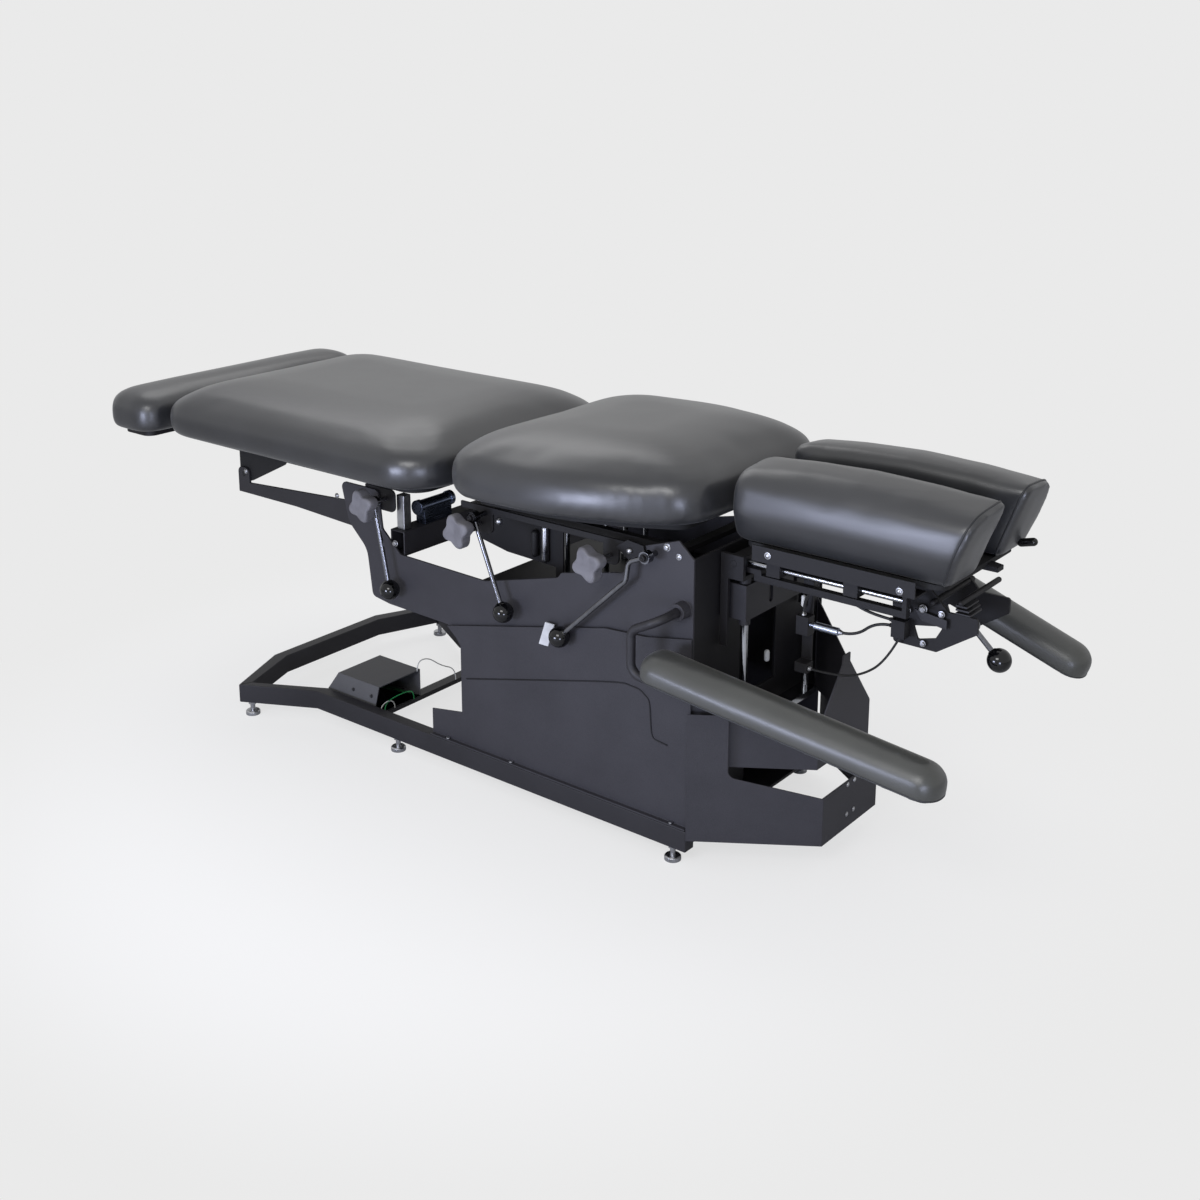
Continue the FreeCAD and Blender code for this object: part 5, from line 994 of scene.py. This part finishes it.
# the head pads' end face leans from its foot to its top, and the welts run a little behind it
headFoot, headTop, headWeltInset = (0.924, 0.586), (0.968, 0.706), 0.010
headEndNormal = (headTop[1] - headFoot[1], 0.0, headFoot[0] - headTop[0])
headWeltPoint = (headFoot[0] - headWeltInset, 0, headFoot[1])
for side, sideName in ((-1, "near"), (1, "far")):
    loop = sliceLoop(pads["head_pads"], headWeltPoint, headEndNormal, side, 160)
    loopPiece(sideName + "HeadPadWelt", loop, 0.0019, "welt", bodyOf["head_pads"])
armTilts, armWeltRise = {"near_armrest_pad": 5.8, "far_armrest_pad": 20.0}, 0.005
for nodeName, tilt in armTilts.items():
    upright = np.array([math.sin(math.radians(tilt)), 0.0, math.cos(math.radians(tilt))])
    heights = vertexRows(pads[nodeName].data) @ upright
    loop = sliceLoop(pads[nodeName], (heights.min() + armWeltRise) * upright, upright, 0, 260)
    loopPiece(camelName(nodeName) + "Welt", loop, 0.0017, "welt", bodyOf[nodeName])
print("welts sewn")


# Floor and lights

# pale paint whose own glow grows with the distance from the middle into the backdrop colour
# both glows are for the camera's rays alone, so they don't light the table
def floorMaterial():
    material = bpy.data.materials.new("pale floor")
    material.use_nodes = True
    tree = material.node_tree
    shader = tree.nodes["Principled BSDF"]
    shader.inputs["Roughness"].default_value = 0.85
    shader.inputs["Specular IOR Level"].default_value = 0.1
    shader.inputs["Emission Color"].default_value = linearRgb(stageLook["backdrop"])
    rays = addNode(tree, "ShaderNodeLightPath").outputs["Is Camera Ray"]
    tone = toneBetween(tree, rays, stageLook["floorBounce"], stageLook["floorSeen"])
    tree.links.new(tone, shader.inputs["Base Color"])
    glowInputs = {0: rays, 1: stageLook["floorGlow"]}
    ownGlow = addNode(tree, "ShaderNodeMath", glowInputs, operation="MULTIPLY").outputs[0]
    tree.links.new(ownGlow, shader.inputs["Emission Strength"])
    place = addNode(tree, "ShaderNodeTexCoord").outputs["Object"]
    distance = addNode(tree, "ShaderNodeVectorMath", {0: place}, operation="LENGTH").outputs["Value"]
    fadeInputs = {"Value": distance, "From Min": stageLook["fadeStart"], "From Max": stageLook["fadeEnd"]}
    fade = addNode(tree, "ShaderNodeMapRange", fadeInputs, interpolation_type="SMOOTHSTEP").outputs["Result"]
    seenFade = addNode(tree, "ShaderNodeMath", {0: fade, 1: rays}, operation="MULTIPLY").outputs[0]
    glow = addNode(tree, "ShaderNodeEmission", {"Color": linearRgb(stageLook["backdrop"]), "Strength": 1.0})
    mixInputs = {"Fac": seenFade, 1: shader.outputs["BSDF"], 2: glow.outputs["Emission"]}
    mixed = addNode(tree, "ShaderNodeMixShader", mixInputs)
    tree.links.new(mixed.outputs["Shader"], tree.nodes["Material Output"].inputs["Surface"])
    return material


# flat disc just under the feet
def makeFloor():
    sides = stageLook["discSides"]
    turn = np.linspace(0, 2 * math.pi, sides, endpoint=False)
    radii = np.array(stageLook["discRadii"])
    ring = np.stack([np.cos(turn), np.sin(turn), np.zeros(sides)], -1)
    grid = radii[:, None, None] * ring[None] - np.array([0, 0, stageLook["discDrop"]])
    faces = gridFaces(len(radii), sides).tolist() + [list(range(sides))]
    mesh = bpy.data.meshes.new("floor")
    mesh.from_pydata(grid.reshape(-1, 3).tolist(), [], faces)
    floor = bpy.data.objects.new("floor", mesh)
    bpy.context.scene.collection.objects.link(floor)
    mesh.materials.append(floorMaterial())


def makeWorld():
    world = bpy.data.worlds.new("studio")
    bpy.context.scene.world = world
    world.use_nodes = True
    tree = world.node_tree
    seen = tree.nodes["Background"]
    seen.inputs["Color"].default_value = linearRgb(stageLook["backdrop"])
    seen.inputs["Strength"].default_value = 1.0
    fillInputs = {"Color": linearRgb(stageLook["fillColour"]), "Strength": stageLook["fill"]}
    fill = addNode(tree, "ShaderNodeBackground", fillInputs)
    rays = addNode(tree, "ShaderNodeLightPath")
    shown = {0: rays.outputs["Is Camera Ray"], 1: rays.outputs["Is Transmission Ray"]}
    direct = addNode(tree, "ShaderNodeMath", shown, operation="MAXIMUM").outputs[0]
    glossInputs = {0: rays.outputs["Is Glossy Ray"], 1: stageLook["glossShare"]}
    glossy = addNode(tree, "ShaderNodeMath", glossInputs, operation="MULTIPLY").outputs[0]
    share = addNode(tree, "ShaderNodeMath", {0: direct, 1: glossy}, operation="MAXIMUM").outputs[0]
    mixInputs = {"Fac": share, 1: fill.outputs["Background"], 2: seen.outputs["Background"]}
    mixed = addNode(tree, "ShaderNodeMixShader", mixInputs)
    tree.links.new(mixed.outputs["Shader"], tree.nodes["World Output"].inputs["Surface"])


def areaLamp(name, place, target, size, power, colour):
    light = bpy.data.lights.new(name, "AREA")
    light.shape = "RECTANGLE"
    light.size, light.size_y = size
    light.energy = power
    light.color = linearRgb(colour)[:3]
    lamp = bpy.data.objects.new(name, light)
    lamp.location = place
    lamp.rotation_euler = (Vector(target) - Vector(place)).to_track_quat("-Z", "Y").to_euler()
    bpy.context.scene.collection.objects.link(lamp)
    return lamp


stageLook = {
    "floorBounce": "d8d8d8", "floorSeen": "909090", "backdrop": "eaeaea",
    "fillColour": "f6f7fa", "fill": 0.5,
    "discSides": 96, "discRadii": (0.01, 1.5, 3.0, 6.0, 14.0), "discDrop": 0.0005,
    "glossShare": 0.62, "floorGlow": 0.8, "fadeStart": 0.75, "fadeEnd": 1.35,
}
lampLooks = {
    "overhead": ((-1.3, 0.5, 2.3), (-0.4, 0.0, 0.6), (1.6, 1.4), 11, "ffffff"),
    "headOverhead": ((0.3, 0.7, 2.4), (0.2, 0.0, 0.6), (1.6, 1.4), 1.5, "ffffff"),
    "front": ((-0.1, -2.3, 0.45), (0.5, -0.1, 0.6), (0.7, 0.4), 21, "d9e1ff"),
    "frontHigh": ((0.9, -2.4, 1.9), (0.3, -0.1, 0.5), (1.2, 0.8), 20.5, "ffffff"),
    "right": ((2.1, -2.0, 0.3), (0.5, -0.1, 0.55), (0.6, 0.5), 14, "d9e1ff"),
}
makeFloor()
makeWorld()
for lampName, (place, target, size, power, colour) in lampLooks.items():
    areaLamp(lampName, place, target, size, power, colour)
print("stage ready")
